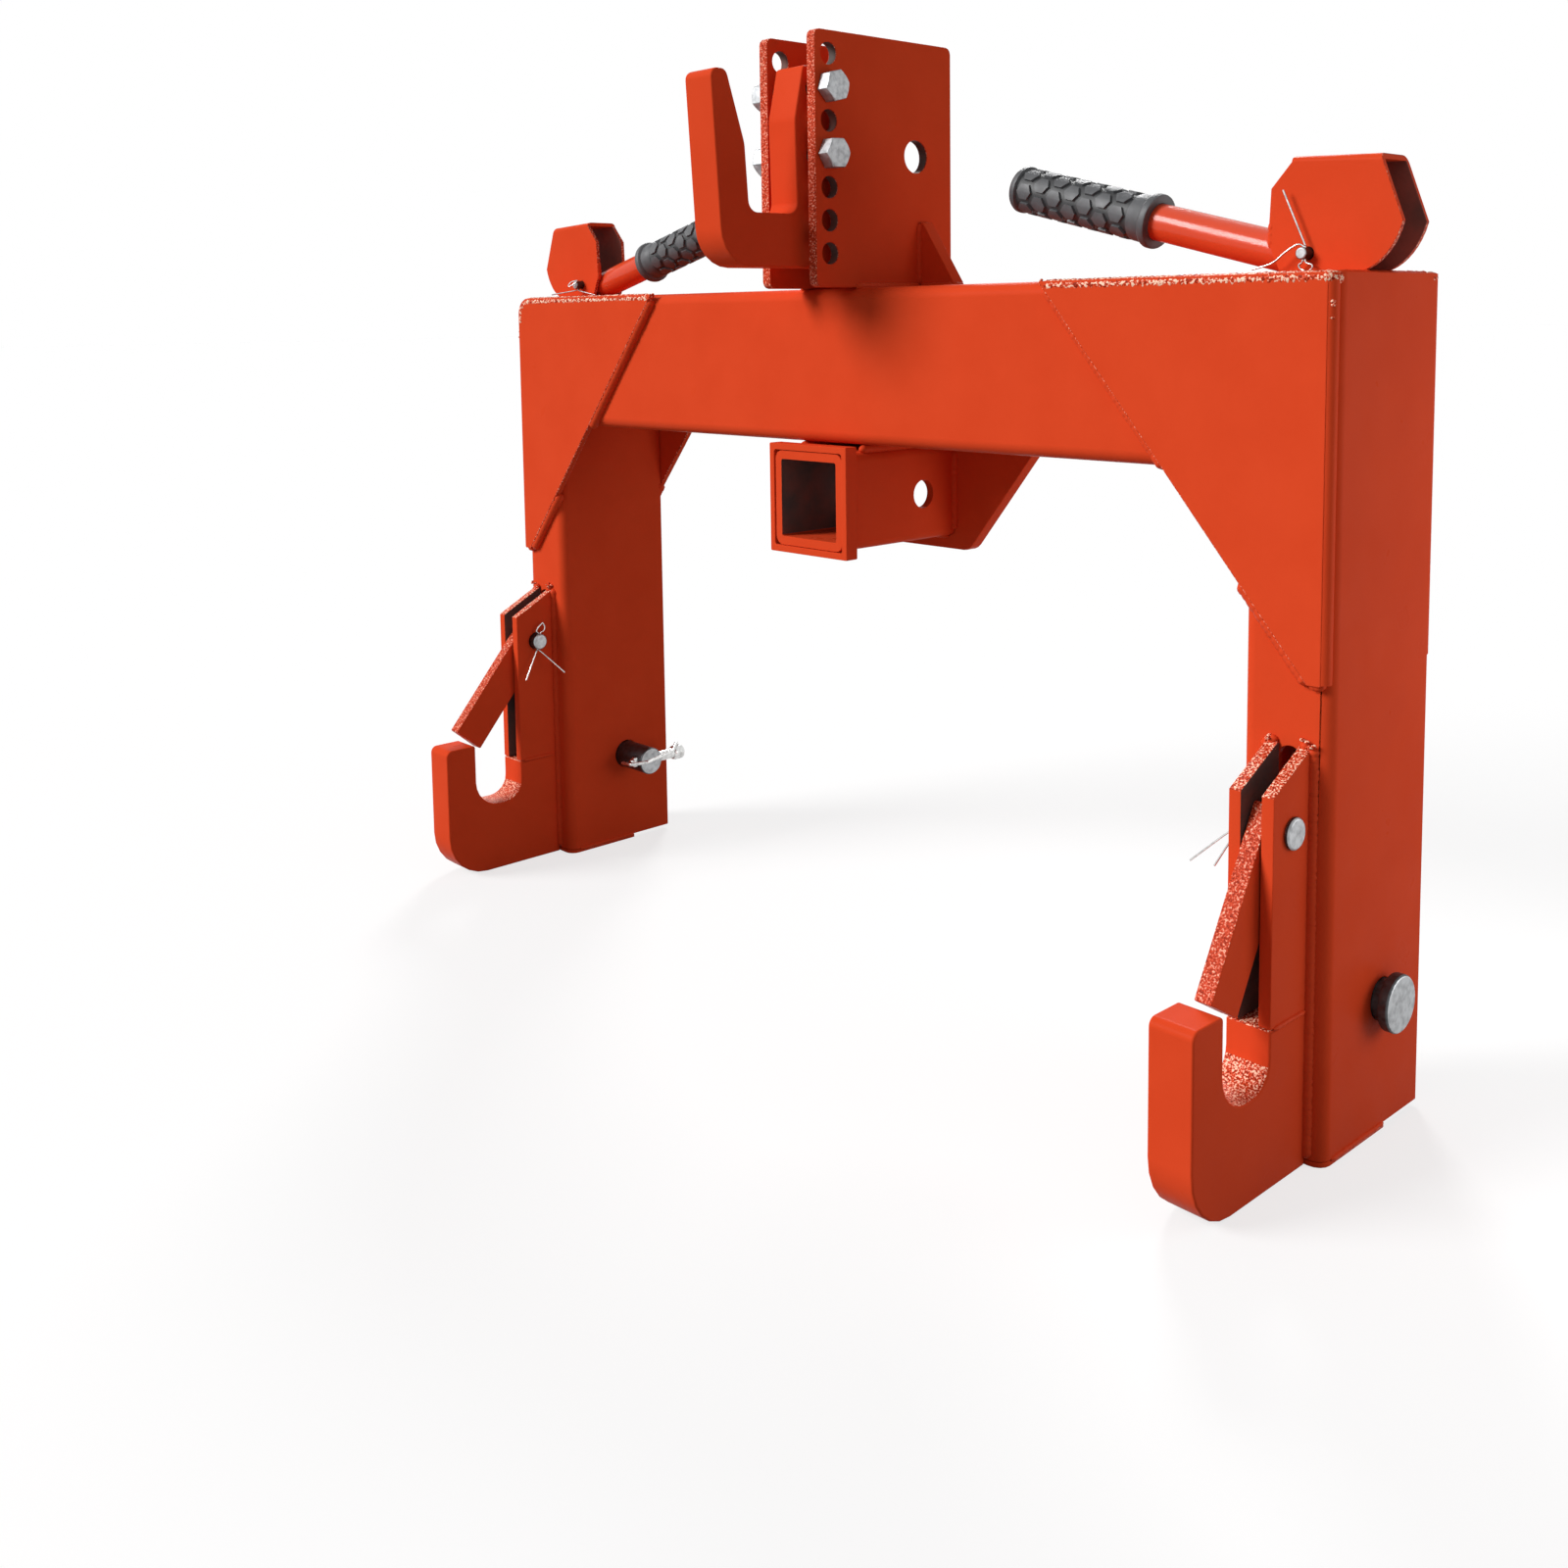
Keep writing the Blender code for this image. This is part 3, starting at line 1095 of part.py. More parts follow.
def build():
    cross_beam()
    for name, side in SIDES:
        leg(name, side)
        foot_plate(name, side)
        gusset(name, side, True)
        gusset(name, side, False)
        mast_plate(name, side)
        mast_rib(name, side)
        lower_hook(name, side)
        latch_cheek(name, side, True)
        latch_cheek(name, side, False)
        latch_hinge = empty(f"latch_axis_{name}", (side * HOOK_X, LATCH_PIVOT_Y, LATCH_PIVOT_Z), ROOT)
        latch(name, side, latch_hinge)
        latch_pin(name, side)
        lever_point = (side * ROD_X, ROD_Y, LEVER_PIN_HEIGHT)
        rod_slide = empty(f"rod_axis_{name}", lever_point, ROOT)
        lever_hinge = empty(f"lever_axis_{name}", lever_point, rod_slide)
        lift_rod(name, side, rod_slide)
        lever_bracket(name, side, lever_hinge)
        handle_tube(name, side, lever_hinge)
        grip(name, side, lever_hinge)
        lever_pin(name, side, lever_hinge)
        link_pin(name, side)
        lynch_pin(name, side)
        bail_hinge = empty(f"bail_axis_{name}", (side * LYNCH_X, LYNCH_HINGE_Y, LINK_PIN_Z), ROOT)
        lynch_bail(name, side, bail_hinge)
    top_hook()
    hook_bolt("upper")
    hook_bolt("lower")
    receiver_tube()
    receiver_collar()
    receiver_support()


build()
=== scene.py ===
"""Looks of the three point receiver hitch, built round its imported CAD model."""

import json
import math
import random

import bmesh
import bpy
from bpy.props import FloatProperty, FloatVectorProperty, IntProperty, PointerProperty
from mathutils import Matrix, Vector


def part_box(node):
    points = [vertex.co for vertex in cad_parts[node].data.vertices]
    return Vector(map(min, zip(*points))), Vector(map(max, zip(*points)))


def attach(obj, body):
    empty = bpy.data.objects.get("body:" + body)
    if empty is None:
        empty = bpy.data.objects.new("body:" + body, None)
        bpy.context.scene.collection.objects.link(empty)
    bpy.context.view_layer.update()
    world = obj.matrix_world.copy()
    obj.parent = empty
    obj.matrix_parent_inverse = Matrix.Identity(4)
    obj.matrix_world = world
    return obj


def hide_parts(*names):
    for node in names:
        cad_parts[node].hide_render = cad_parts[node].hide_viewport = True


bl_info = {
    "name": "Receiver hitch looks",
    "version": (1, 0, 0),
    "blender": (4, 5, 0),
    "location": "3D View > Sidebar > Hitch",
    "description": "Paint, welds, grips, pins and the studio of a three point receiver hitch",
    "category": "Object",
}

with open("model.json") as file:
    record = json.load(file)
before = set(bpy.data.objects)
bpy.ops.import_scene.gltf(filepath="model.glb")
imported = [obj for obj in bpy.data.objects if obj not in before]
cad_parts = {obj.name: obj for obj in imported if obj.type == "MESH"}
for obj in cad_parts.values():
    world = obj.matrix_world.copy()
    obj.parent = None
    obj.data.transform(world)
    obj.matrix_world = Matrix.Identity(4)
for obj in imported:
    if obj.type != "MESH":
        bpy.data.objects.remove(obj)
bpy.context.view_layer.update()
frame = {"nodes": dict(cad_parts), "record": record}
BODY_OF = {node: body for body, nodes in frame["record"]["behaviour"]["bodies"].items() for node in nodes}
SIDES = (("left", -1), ("right", 1))

# Places on the frame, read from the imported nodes
BEAM_LOW, BEAM_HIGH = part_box("cross_beam")
FRONT = BEAM_LOW.y
REAR = BEAM_HIGH.y
TOP = BEAM_HIGH.z
UNDER = BEAM_LOW.z
LEG_LOW, LEG_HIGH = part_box("leg_right")
HOOK_LOW, HOOK_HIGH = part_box("lower_hook_right")
HOOK_MIDDLE = (HOOK_LOW.x + HOOK_HIGH.x) / 2
CHEEK_LOW, CHEEK_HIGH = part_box("latch_cheek_outer_right")

# The camera, solved from the photograph
CAMERA_PLACE = (0.7509353, -0.7188604, 0.4407023)
CAMERA_TURN = 0.8354221
CAMERA_DIP = 0.0991106
CAMERA_ROLL = -0.0144744
CAMERA_LENS = 36.146
CAMERA_SHIFT = -0.1973

# The studio: light from all round, how much of it the floor gives back, and the lamps as name,
# direction, strength and spread in degrees
ROOM_LIGHT = 0.29
FLOOR_SHADE = 0.26
SUN_LAMPS = (
    ("key_lamp", (-0.46, -0.75, 0.50), 3.15, 26.0),
    ("back_lamp", (-0.55, 0.60, 0.58), 1.5, 14.0),
)
SIDE_LAMP_PLACE = (0.80, 0.36, 0.30)
SIDE_LAMP_AIM = (0.36, 0.05, 0.28)
SIDE_LAMP_POWER = 1.5
SIDE_LAMP_SIZE = 0.4

# Colours of the speckled coats' painted glints and painted pit shade, and of the painted shade put inside
# tubes, holes, gaps and brackets
PAINTED_PIT_SHADE = (0.260, 0.020, 0.006)
PAINTED_GLINT = (0.980, 0.680, 0.500)
PAINTED_SHADE_DARK = (0.100, 0.078, 0.072)
PAINTED_SHADE_MID = (0.230, 0.088, 0.070)
PAINTED_SHADE_PALE = (0.480, 0.110, 0.080)

# How much the edges of the different pieces are softened
WIRE_EDGE = 0.0003
TURNED_EDGE = 0.0004
TUBE_EDGE = 0.0005
FOLDED_EDGE = 0.0006
GUSSET_EDGE = 0.0009
THICK_CUT_EDGE = 0.0013

# How far a gusset's upper outer corner is ground round
GROUND_CORNERS = {"front_left": 0.0135}

# The grips: the slope of their handles, radii of the sleeve, its flange and its bore, where the
# pads start from the flange, and the groove between two pads
HANDLE_RISE = math.atan(0.2566)
GRIP_RADIUS = 0.01375
FLANGE_RADIUS = 0.01575
TUBE_RADIUS = 0.01080
NECK = 0.0150
PAD_GAP = 0.0014

# The thread on the hook's bolts
THREAD_PITCH = 0.0020
THREAD_RIDGE = 0.0007

# How far a pin's cotter hole lies from its end, and how wide the cotter's eye opens, in half wires
COTTER_HOLE = 0.0035
EYE_SWELL = (0.0, 5.6, 6.6, 1.8)

# Split cotters, as offsets from the pin's hole: outwards, back and up. First the eye from the pin
# to its tip, then both legs, then the direction that parts them
LEVER_COTTERS = {
    "right": (
        ((0.0, 0.0, -0.0045), (0.0008, 0.0, -0.0060), (0.0014, 0.0, -0.0080), (0.0020, 0.0, -0.0095)),
        ((0.0, 0.0, 0.0040), (-0.0010, -0.0004, 0.0070), (-0.0125, -0.0010, 0.0330)),
        ((0.0, 0.0, 0.0036), (-0.0030, -0.0008, 0.0046), (-0.0085, -0.0022, 0.0012),
         (-0.0160, -0.0030, -0.0045), (-0.0270, -0.0040, -0.0074)),
        (1.0, 0.0, 0.0)),
    "left": (
        ((0.0, 0.0, 0.0036), (0.0010, -0.0034, 0.0026), (0.0026, -0.0054, 0.0004),
         (0.0040, -0.0066, -0.0014)),
        ((0.0, 0.0, -0.0036), (0.0030, -0.0040, -0.0050), (0.0140, -0.0165, -0.0076)),
        ((0.0, 0.0, -0.0036), (-0.0040, -0.0010, -0.0050), (-0.0240, -0.0010, -0.0085)),
        (1.0, 0.0, 0.0)),
}
LATCH_COTTERS = {
    "right": (
        ((0.0, 0.0, 0.0066), (0.0, 0.0010, 0.0085), (0.0, 0.0016, 0.0110), (0.0, 0.0020, 0.0130)),
        ((0.0, 0.0, -0.0045), (-0.0050, -0.0015, -0.0062), (-0.0286, -0.0030, -0.0278)),
        ((0.0, 0.0, -0.0045), (-0.0030, -0.0015, -0.0085), (-0.0132, -0.0030, -0.0265)),
        (0.0, 1.0, 0.0)),
    "left": (
        ((0.0, 0.0008, 0.0066), (0.0, 0.0018, 0.0085), (0.0, 0.0030, 0.0115), (0.0, 0.0044, 0.0148)),
        ((0.0, -0.0010, -0.0066), (-0.0030, 0.0010, -0.0095), (-0.0165, 0.0130, -0.0255)),
        ((0.0, -0.0010, -0.0066), (-0.0010, -0.0034, -0.0095), (-0.0040, -0.0150, -0.0290)),
        (0.0, 1.0, 0.0)),
}


class HitchLooks(bpy.types.PropertyGroup):
    """Sizes and colours that a user would change."""

    paint: FloatVectorProperty(
        name="Paint", description="Main colour of the powder coat",
        default=(0.690, 0.065, 0.019), size=3, subtype="COLOR", min=0.0, max=1.0)
    paint_deep: FloatVectorProperty(
        name="Deep paint", description="Colour of the powder coat where it lies thick",
        default=(0.665, 0.060, 0.017), size=3, subtype="COLOR", min=0.0, max=1.0)
    zinc: FloatVectorProperty(
        name="Zinc", description="Colour of the plated bolts and pins",
        default=(0.40, 0.41, 0.42), size=3, subtype="COLOR", min=0.0, max=1.0)
    # On the pins' shafts this dark colour is partly painted shade
    oxide_and_shaft_shade: FloatVectorProperty(
        name="Oxide", description="Colour of the dark link pins",
        default=(0.085, 0.090, 0.095), size=3, subtype="COLOR", min=0.0, max=1.0)
    rubber: FloatVectorProperty(
        name="Rubber", description="Colour of the grips",
        default=(0.060, 0.062, 0.066), size=3, subtype="COLOR", min=0.0, max=1.0)
    edge: FloatProperty(
        name="Edge", description="Softening of the plates' edges",
        default=0.0007, min=0.0001, max=0.003, subtype="DISTANCE", unit="LENGTH")
    bead: FloatProperty(
        name="Weld bead", description="Radius of a fillet weld",
        default=0.0026, min=0.001, max=0.006, subtype="DISTANCE", unit="LENGTH")
    ripple: FloatProperty(
        name="Weld ripple", description="Distance between the ripples of a weld",
        default=0.0034, min=0.001, max=0.01, subtype="DISTANCE", unit="LENGTH")
    tread: FloatProperty(
        name="Tread", description="Height of the grips' pads",
        default=0.0014, min=0.0003, max=0.003, subtype="DISTANCE", unit="LENGTH")
    tread_rows: IntProperty(
        name="Tread rows", description="Pads round a grip", default=7, min=4, max=12)
    wire: FloatProperty(
        name="Cotter wire", description="Thickness of one leg of a split cotter",
        default=0.0011, min=0.0005, max=0.002, subtype="DISTANCE", unit="LENGTH")


def looks():
    return bpy.context.scene.hitch_looks


# Materials

def new_material(name, roughness, metallic=0.0):
    """A Principled material with its plain numbers set on the shader's own sockets."""
    material = bpy.data.materials.new(name)
    material.use_nodes = True
    shader = material.node_tree.nodes["Principled BSDF"]
    shader.inputs["Roughness"].default_value = roughness
    shader.inputs["Metallic"].default_value = metallic
    return material, shader


def noise(material, scale, detail=2.0, stretch=(1.0, 1.0, 1.0)):
    """Noise on Object coordinates, its size given as spots in a metre."""
    tree = material.node_tree
    place = tree.nodes.new("ShaderNodeTexCoord")
    mapping = tree.nodes.new("ShaderNodeMapping")
    mapping.inputs["Scale"].default_value = stretch
    spots = tree.nodes.new("ShaderNodeTexNoise")
    spots.inputs["Scale"].default_value = scale
    spots.inputs["Detail"].default_value = detail
    tree.links.new(place.outputs["Object"], mapping.inputs["Vector"])
    tree.links.new(mapping.outputs["Vector"], spots.inputs["Vector"])
    return spots.outputs["Fac"]


def colour_bands(material, factor, *bands):
    """A colour that runs through bands of position and colour, by a factor."""
    tree = material.node_tree
    ramp = tree.nodes.new("ShaderNodeValToRGB")
    stops = ramp.color_ramp.elements
    while len(stops) < len(bands):
        stops.new(1.0)
    for stop, (place, colour) in zip(stops, bands):
        stop.position = place
        stop.color = (*colour, 1.0)
    tree.links.new(factor, ramp.inputs["Fac"])
    return ramp.outputs["Color"]


def vary(material, factor, low, high):
    """A number between two, by a factor."""
    tree = material.node_tree
    spread = tree.nodes.new("ShaderNodeMapRange")
    spread.inputs["From Min"].default_value = 0.3
    spread.inputs["From Max"].default_value = 0.7
    spread.inputs["To Min"].default_value = low
    spread.inputs["To Max"].default_value = high
    tree.links.new(factor, spread.inputs["Value"])
    return spread.outputs["Result"]


def bump(material, height, strength, distance, under=None):
    """A bump, laid over another one if there is one."""
    tree = material.node_tree
    node = tree.nodes.new("ShaderNodeBump")
    node.inputs["Strength"].default_value = strength
    node.inputs["Distance"].default_value = distance
    tree.links.new(height, node.inputs["Height"])
    if under is not None:
        tree.links.new(under, node.inputs["Normal"])
    return node.outputs["Normal"]


def wire_up(material, shader, **sockets):
    for name, value in sockets.items():
        material.node_tree.links.new(value, shader.inputs[name.replace("_", " ")])


def coat(name, ior, low, high, peel=0.16):
    """Powder coat: slight clouds, orange peel and uneven gloss."""
    if name in bpy.data.materials:
        return bpy.data.materials[name]
    material, shader = new_material(name, low)
    shader.inputs["IOR"].default_value = ior
    bands = ((0.35, looks().paint_deep), (0.65, looks().paint))
    colour = colour_bands(material, noise(material, 26.0, 4.0), *bands)
    fine = bump(material, noise(material, 620.0, 1.0), peel, 0.0003)
    waves = bump(material, noise(material, 70.0, 2.0), 0.10, 0.0008, fine)
    gloss = vary(material, noise(material, 45.0, 3.0), low, high)
    wire_up(material, shader, Base_Color=colour, Roughness=gloss, Normal=waves)
    return material


def powder_coat():
    return coat("powder_coat", 1.06, 0.27, 0.40)


def glossy_coat():
    return coat("glossy_coat", 1.38, 0.17, 0.26, 0.22)


def coated_weld():
    return coat("coated_weld", 1.10, 0.27, 0.40, 0.25)


def speckled_coat(name, spots, dark, pale, fade=0.06):
    """Powder coat over a torch cut, pitted by a bump, with pale specks as painted glints and dark specks
    as painted shade in the pits.
    """
    if name in bpy.data.materials:
        return bpy.data.materials[name]
    material, shader = new_material(name, 0.42)
    shader.inputs["IOR"].default_value = 1.15
    grain = noise(material, spots, 3.0)
    paint = looks().paint
    # Pale specks are painted glints, dark specks painted shade in the pits, both in the base colour
    bands = (dark, PAINTED_PIT_SHADE), (dark + fade, paint), (pale, paint), (pale + fade, PAINTED_GLINT)
    colour = colour_bands(material, grain, *bands)
    wire_up(material, shader, Base_Color=colour, Normal=bump(material, grain, 0.55, 0.0007))
    return material


# The speckled coats below carry painted glints and painted pit shade
def painted_glint_cut_coat():
    return speckled_coat("cut_edge_painted_glints", 900.0, 0.34, 0.54, 0.20)


def ground_weld():
    return speckled_coat("ground_weld", 950.0, 0.39, 0.52, 0.08)


def painted_glint_edge_weld():
    return speckled_coat("ground_edge_weld", 640.0, 0.38, 0.50)


def painted_shade_coat(name="painted_shade_coat", low=PAINTED_SHADE_DARK, high=PAINTED_SHADE_MID):
    """Painted shade: a dark coat put inside the tube, the holes and between the cheeks, where shade
    falls.
    """
    if name in bpy.data.materials:
        return bpy.data.materials[name]
    material, shader = new_material(name, 0.60)
    shader.inputs["IOR"].default_value = 1.20
    colour = colour_bands(material, noise(material, 45.0, 4.0), (0.35, low), (0.75, high))
    scale = bump(material, noise(material, 500.0, 3.0), 0.25, 0.0004)
    wire_up(material, shader, Base_Color=colour, Normal=scale)
    return material


# A lighter painted shade for the insides of the lever brackets
def bracket_inside():
    return painted_shade_coat("painted_shade_brackets", PAINTED_SHADE_MID, PAINTED_SHADE_PALE)


def plated(name, colour, low, high, stretch=(1.0, 1.0, 1.0), spots=260.0):
    """Metal with a faint grain: light and dull patches, and fine scratches."""
    if name in bpy.data.materials:
        return bpy.data.materials[name]
    material, shader = new_material(name, low, metallic=1.0)
    dark = tuple(0.62 * part for part in colour)
    shade = colour_bands(material, noise(material, spots, 3.0), (0.3, dark), (0.6, tuple(colour)))
    grain = bump(material, noise(material, 1500.0, 2.0, stretch), 0.12, 0.0002)
    gloss = vary(material, noise(material, 420.0, 2.0), low, high)
    wire_up(material, shader, Base_Color=shade, Roughness=gloss, Normal=grain)
    return material


def zinc():
    return plated("zinc_plate", looks().zinc, 0.38, 0.54)


# Dark oxide, which on the pins' shafts also stands as painted shade
def oxide_and_shaft_shade():
    return plated("dark_pin_shafts", looks().oxide_and_shaft_shade, 0.32, 0.50)


def spring_steel():
    return plated("spring_steel", (0.72, 0.72, 0.71), 0.18, 0.32)


def grip_rubber(name="grip_rubber", share=1.0):
    """Matt rubber with a fine grain and a slight bloom."""
    if name in bpy.data.materials:
        return bpy.data.materials[name]
    material, shader = new_material(name, 0.5)
    plain, pale = (tuple(share * lift * part for part in looks().rubber) for lift in (1.0, 1.5))
    colour = colour_bands(material, noise(material, 160.0, 4.0), (0.35, plain), (0.75, pale))
    grain = bump(material, noise(material, 2200.0, 2.0), 0.30, 0.0002)
    gloss = vary(material, noise(material, 90.0, 3.0), 0.44, 0.60)
    wire_up(material, shader, Base_Color=colour, Roughness=gloss, Normal=grain)
    return material


# Making pieces

def add_piece(name, shape, body, materials, nodes=(), sharp=40.0):
    """Turn a bmesh into a piece that rides on a body and stands for CAD nodes."""
    mesh = bpy.data.meshes.new(name)
    shape.to_mesh(mesh)
    shape.free()
    return add_mesh(name, mesh, body, materials, nodes, sharp)


def add_mesh(name, mesh, body, materials, nodes=(), sharp=40.0):
    stale = mesh.attributes.get("custom_normal")
    if stale is not None:
        mesh.attributes.remove(stale)
    mesh.shade_smooth()
    mesh.set_sharp_from_angle(angle=math.radians(sharp))
    for material in materials:
        mesh.materials.append(material)
    obj = bpy.data.objects.new(name, mesh)
    bpy.context.scene.collection.objects.link(obj)
    even = obj.modifiers.new("even_normals", "WEIGHTED_NORMAL")
    even.keep_sharp = True
    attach(obj, body)
    if nodes:
        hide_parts(*nodes)
    return obj


def merged_copy(node):
    """A node's solid as whole faces instead of loose triangles."""
    shape = bmesh.new()
    shape.from_mesh(frame["nodes"][node].data)
    bmesh.ops.remove_doubles(shape, verts=shape.verts, dist=1e-5)
    flat = math.radians(0.8)
    bmesh.ops.dissolve_limit(shape, angle_limit=flat, verts=shape.verts, edges=shape.edges)
    return shape


def soften(shape, width, angle=40.0, segments=2):
    """Round the sharp edges of a solid."""
    corner = math.radians(angle)
    edges = [edge for edge in shape.edges if edge.is_manifold and edge.calc_face_angle(0.0) > corner]
    bmesh.ops.bevel(
        shape, geom=edges, offset=width, offset_type="OFFSET", segments=segments,
        profile=0.5, affect="EDGES", clamp_overlap=False, material=-1)


def round_corner(shape, reach):
    """Grind the upper outer corner of a gusset round, by flat cuts along an arc."""
    outer = max((vert.co.x for vert in shape.verts), key=abs)
    side = math.copysign(1.0, outer)
    centre = Vector((outer - side * reach, 0.0, max(vert.co.z for vert in shape.verts) - reach))
    for degrees in (12, 27, 45, 63, 78):
        turned = math.radians(degrees)
        away = Vector((side * math.sin(turned), 0.0, math.cos(turned)))
        geometry = shape.verts[:] + shape.edges[:] + shape.faces[:]
        cut = bmesh.ops.bisect_plane(
            shape, geom=geometry, plane_co=centre + away * reach, plane_no=away, clear_outer=True)
        rim = [edge for edge in cut["geom_cut"] if isinstance(edge, bmesh.types.BMEdge)]
        bmesh.ops.edgeloop_fill(shape, edges=rim)
    bmesh.ops.recalc_face_normals(shape, faces=shape.faces)


def dress(node, materials, width=None, segments=2, rough=None, inside=None, corner=None):
    """Replace a node by a softened copy; rough faces take the second material, mostly a speckled coat of
    painted glints, inner ones the last, mostly painted shade.
    """
    shape = merged_copy(node)
    if corner:
        round_corner(shape, corner)
    soften(shape, width or looks().edge, segments=segments)
    for face in shape.faces:
        if inside is not None and inside(face):
            face.material_index = len(materials) - 1
        elif rough is not None and rough(face):
            face.material_index = 1
    return add_piece(f"{node}_coat", shape, BODY_OF[node], materials, [node])


def looks_at(face, middle, axes, reach):
    """True for a face near a line or a plane and turned to it, as inside a tube or a gap."""
    offset = face.calc_center_median() - middle
    near = all(abs(offset[axis]) < reach for axis in axes)
    return near and sum(offset[axis] * face.normal[axis] for axis in axes) < 0


def deep(face):
    """How far a face reaches from front to back."""
    reach = [vert.co.y for vert in face.verts]
    return max(reach) - min(reach)


def painted_glint_arris(face):
    """True along the rounded slanting edge of a gusset, which takes a thin speckled line of painted
    glints and painted shade.
    """
    slant = face.normal.z < -0.15 and abs(face.normal.x) > 0.2
    return slant and 0.3 < abs(face.normal.y) < 0.93


# Faces turned upward, which take the speckled coats' painted glints
def turned_up(face):
    return face.normal.z > 0.3 and abs(face.normal.x) < 0.6


def mesh_of(curve):
    """A curve with its thickness, as a closed mesh."""
    holder = bpy.data.objects.new(curve.name, curve)
    bpy.context.scene.collection.objects.link(holder)
    bpy.context.view_layer.update()
    graph = bpy.context.evaluated_depsgraph_get()
    mesh = bpy.data.meshes.new_from_object(holder.evaluated_get(graph))
    bpy.data.objects.remove(holder, do_unlink=True)
    shape = bmesh.new()
    shape.from_mesh(mesh)
    bmesh.ops.remove_doubles(shape, verts=shape.verts, dist=1e-6)
    bmesh.ops.recalc_face_normals(shape, faces=shape.faces)
    shape.to_mesh(mesh)
    shape.free()
    return mesh


def round_curve(name, radius, resolution=2):
    curve = bpy.data.curves.new(name, "CURVE")
    curve.dimensions = "3D"
    curve.bevel_depth = radius
    curve.bevel_resolution = resolution
    curve.use_fill_caps = True
    return curve


def even_points(corners, step):
    """Points at even steps along straight runs between corners."""
    points = []
    for start, end in zip(corners, corners[1:]):
        start, end = Vector(start), Vector(end)
        count = max(2, round((end - start).length / step))
        points += [start.lerp(end, i / count) for i in range(count)]
    points.append(Vector(corners[-1]))
    return points


def lay_bead(curve, corners, size, chance):
    """One run of weld on a curve: rippled, uneven, thin at its ends."""
    ripple = looks().ripple
    points = even_points(corners, ripple / 3)
    spline = curve.splines.new("POLY")
    spline.points.add(len(points) - 1)
    travelled = 0.0
    for index, (spot, point) in enumerate(zip(spline.points, points)):
        if index:
            travelled += (point - points[index - 1]).length
        near_end = min(index, len(points) - 1 - index)
        wave = 1.0 + 0.05 * math.sin(2 * math.pi * travelled / ripple) + chance.uniform(-0.03, 0.03)
        drift = Vector([chance.uniform(-1, 1) for _ in range(3)]) * 0.00018
        spot.co = (*(point + drift), 1.0)
        spot.radius = size * wave * min(1.0, 0.45 + 0.28 * near_end)


def smooth_path(points, steps=8):
    """A smooth line through points, for a bent wire."""
    points = [Vector(point) for point in points]
    ends = [points[0] * 2 - points[1], *points, points[-1] * 2 - points[-2]]
    path = []
    for a, b, c, d in zip(ends, ends[1:], ends[2:], ends[3:]):
        for i in range(steps):
            t = i / steps
            path.append(0.5 * (
                2 * b + (c - a) * t + (2 * a - 5 * b + 4 * c - d) * t ** 2
                + (3 * b - a - 3 * c + d) * t ** 3))
    path.append(points[-1])
    return path


def wire_piece(name, routes, radius, body, material, nodes=(), resolution=2):
    """Bent wires of one thickness as one piece."""
    curve = round_curve(name, radius, resolution)
    for route in routes:
        spline = curve.splines.new("POLY")
        spline.points.add(len(route) - 1)
        for spot, point in zip(spline.points, route):
            spot.co = (*point, 1.0)
    return add_mesh(name, mesh_of(curve), body, [material], nodes, sharp=60.0)


def handle_axis(name, side):
    """Where a grip starts on its handle, how local Z turns along it, and its length."""
    points = [vert.co for vert in frame["nodes"][f"grip_{name}"].data.vertices]
    grip_low, grip_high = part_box(f"grip_{name}")
    middle_y = (grip_low.y + grip_high.y) / 2
    direction = Vector((-side * math.cos(HANDLE_RISE), 0.0, math.sin(HANDLE_RISE)))
    across = Vector((side * math.sin(HANDLE_RISE), 0.0, math.cos(HANDLE_RISE)))
    low, high = min(co.dot(direction) for co in points), max(co.dot(direction) for co in points)
    centre = (min(co.dot(across) for co in points) + max(co.dot(across) for co in points)) / 2
    start = direction * low + across * centre + Vector((0.0, middle_y, 0.0))
    turn = direction.to_track_quat("Z", "Y")
    return start, turn, high - low


# Operators

class HITCH_OT_frame_steel(bpy.types.Operator):
    """Coat the beam, the legs, the gussets and the foot plates"""

    bl_idname = "hitch.frame_steel"
    bl_label = "Beam, legs and gussets"

    def execute(self, context):
        dress("cross_beam", [powder_coat()], TUBE_EDGE)
        for name, _ in SIDES:
            dress(f"leg_{name}", [powder_coat()], FOLDED_EDGE)
            dress(f"foot_plate_{name}", [powder_coat()], TURNED_EDGE)
            for place in ("front", "rear"):
                dress(
                    f"gusset_{place}_{name}", [powder_coat(), painted_glint_cut_coat()], GUSSET_EDGE,
                    rough=painted_glint_arris, corner=GROUND_CORNERS.get(f"{place}_{name}"))
        return {"FINISHED"}


class HITCH_OT_mast(bpy.types.Operator):
    """Coat the drilled mast plates, their ribs and the top hook"""

    bl_idname = "hitch.mast"
    bl_label = "Mast and top hook"

    def execute(self, context):
        coats = [powder_coat(), painted_glint_cut_coat(), painted_shade_coat()]
        for name, _ in SIDES:
            low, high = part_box(f"mast_plate_{name}")
            # Front faces of a mast plate take painted glints, the walls of its holes painted shade
            dress(
                f"mast_plate_{name}", coats,
                rough=lambda face: face.normal.y < -0.5,
                inside=lambda face: abs(face.normal.x) < 0.3 and all(
                    low[axis] + 0.0035 < face.calc_center_median()[axis] < high[axis] - 0.0035
                    for axis in (1, 2)))
            # A rib's turned-up faces take painted glints
            dress(f"mast_rib_{name}", coats[:2], rough=turned_up)
        dress("top_hook", coats[:1], THICK_CUT_EDGE, segments=3)
        return {"FINISHED"}


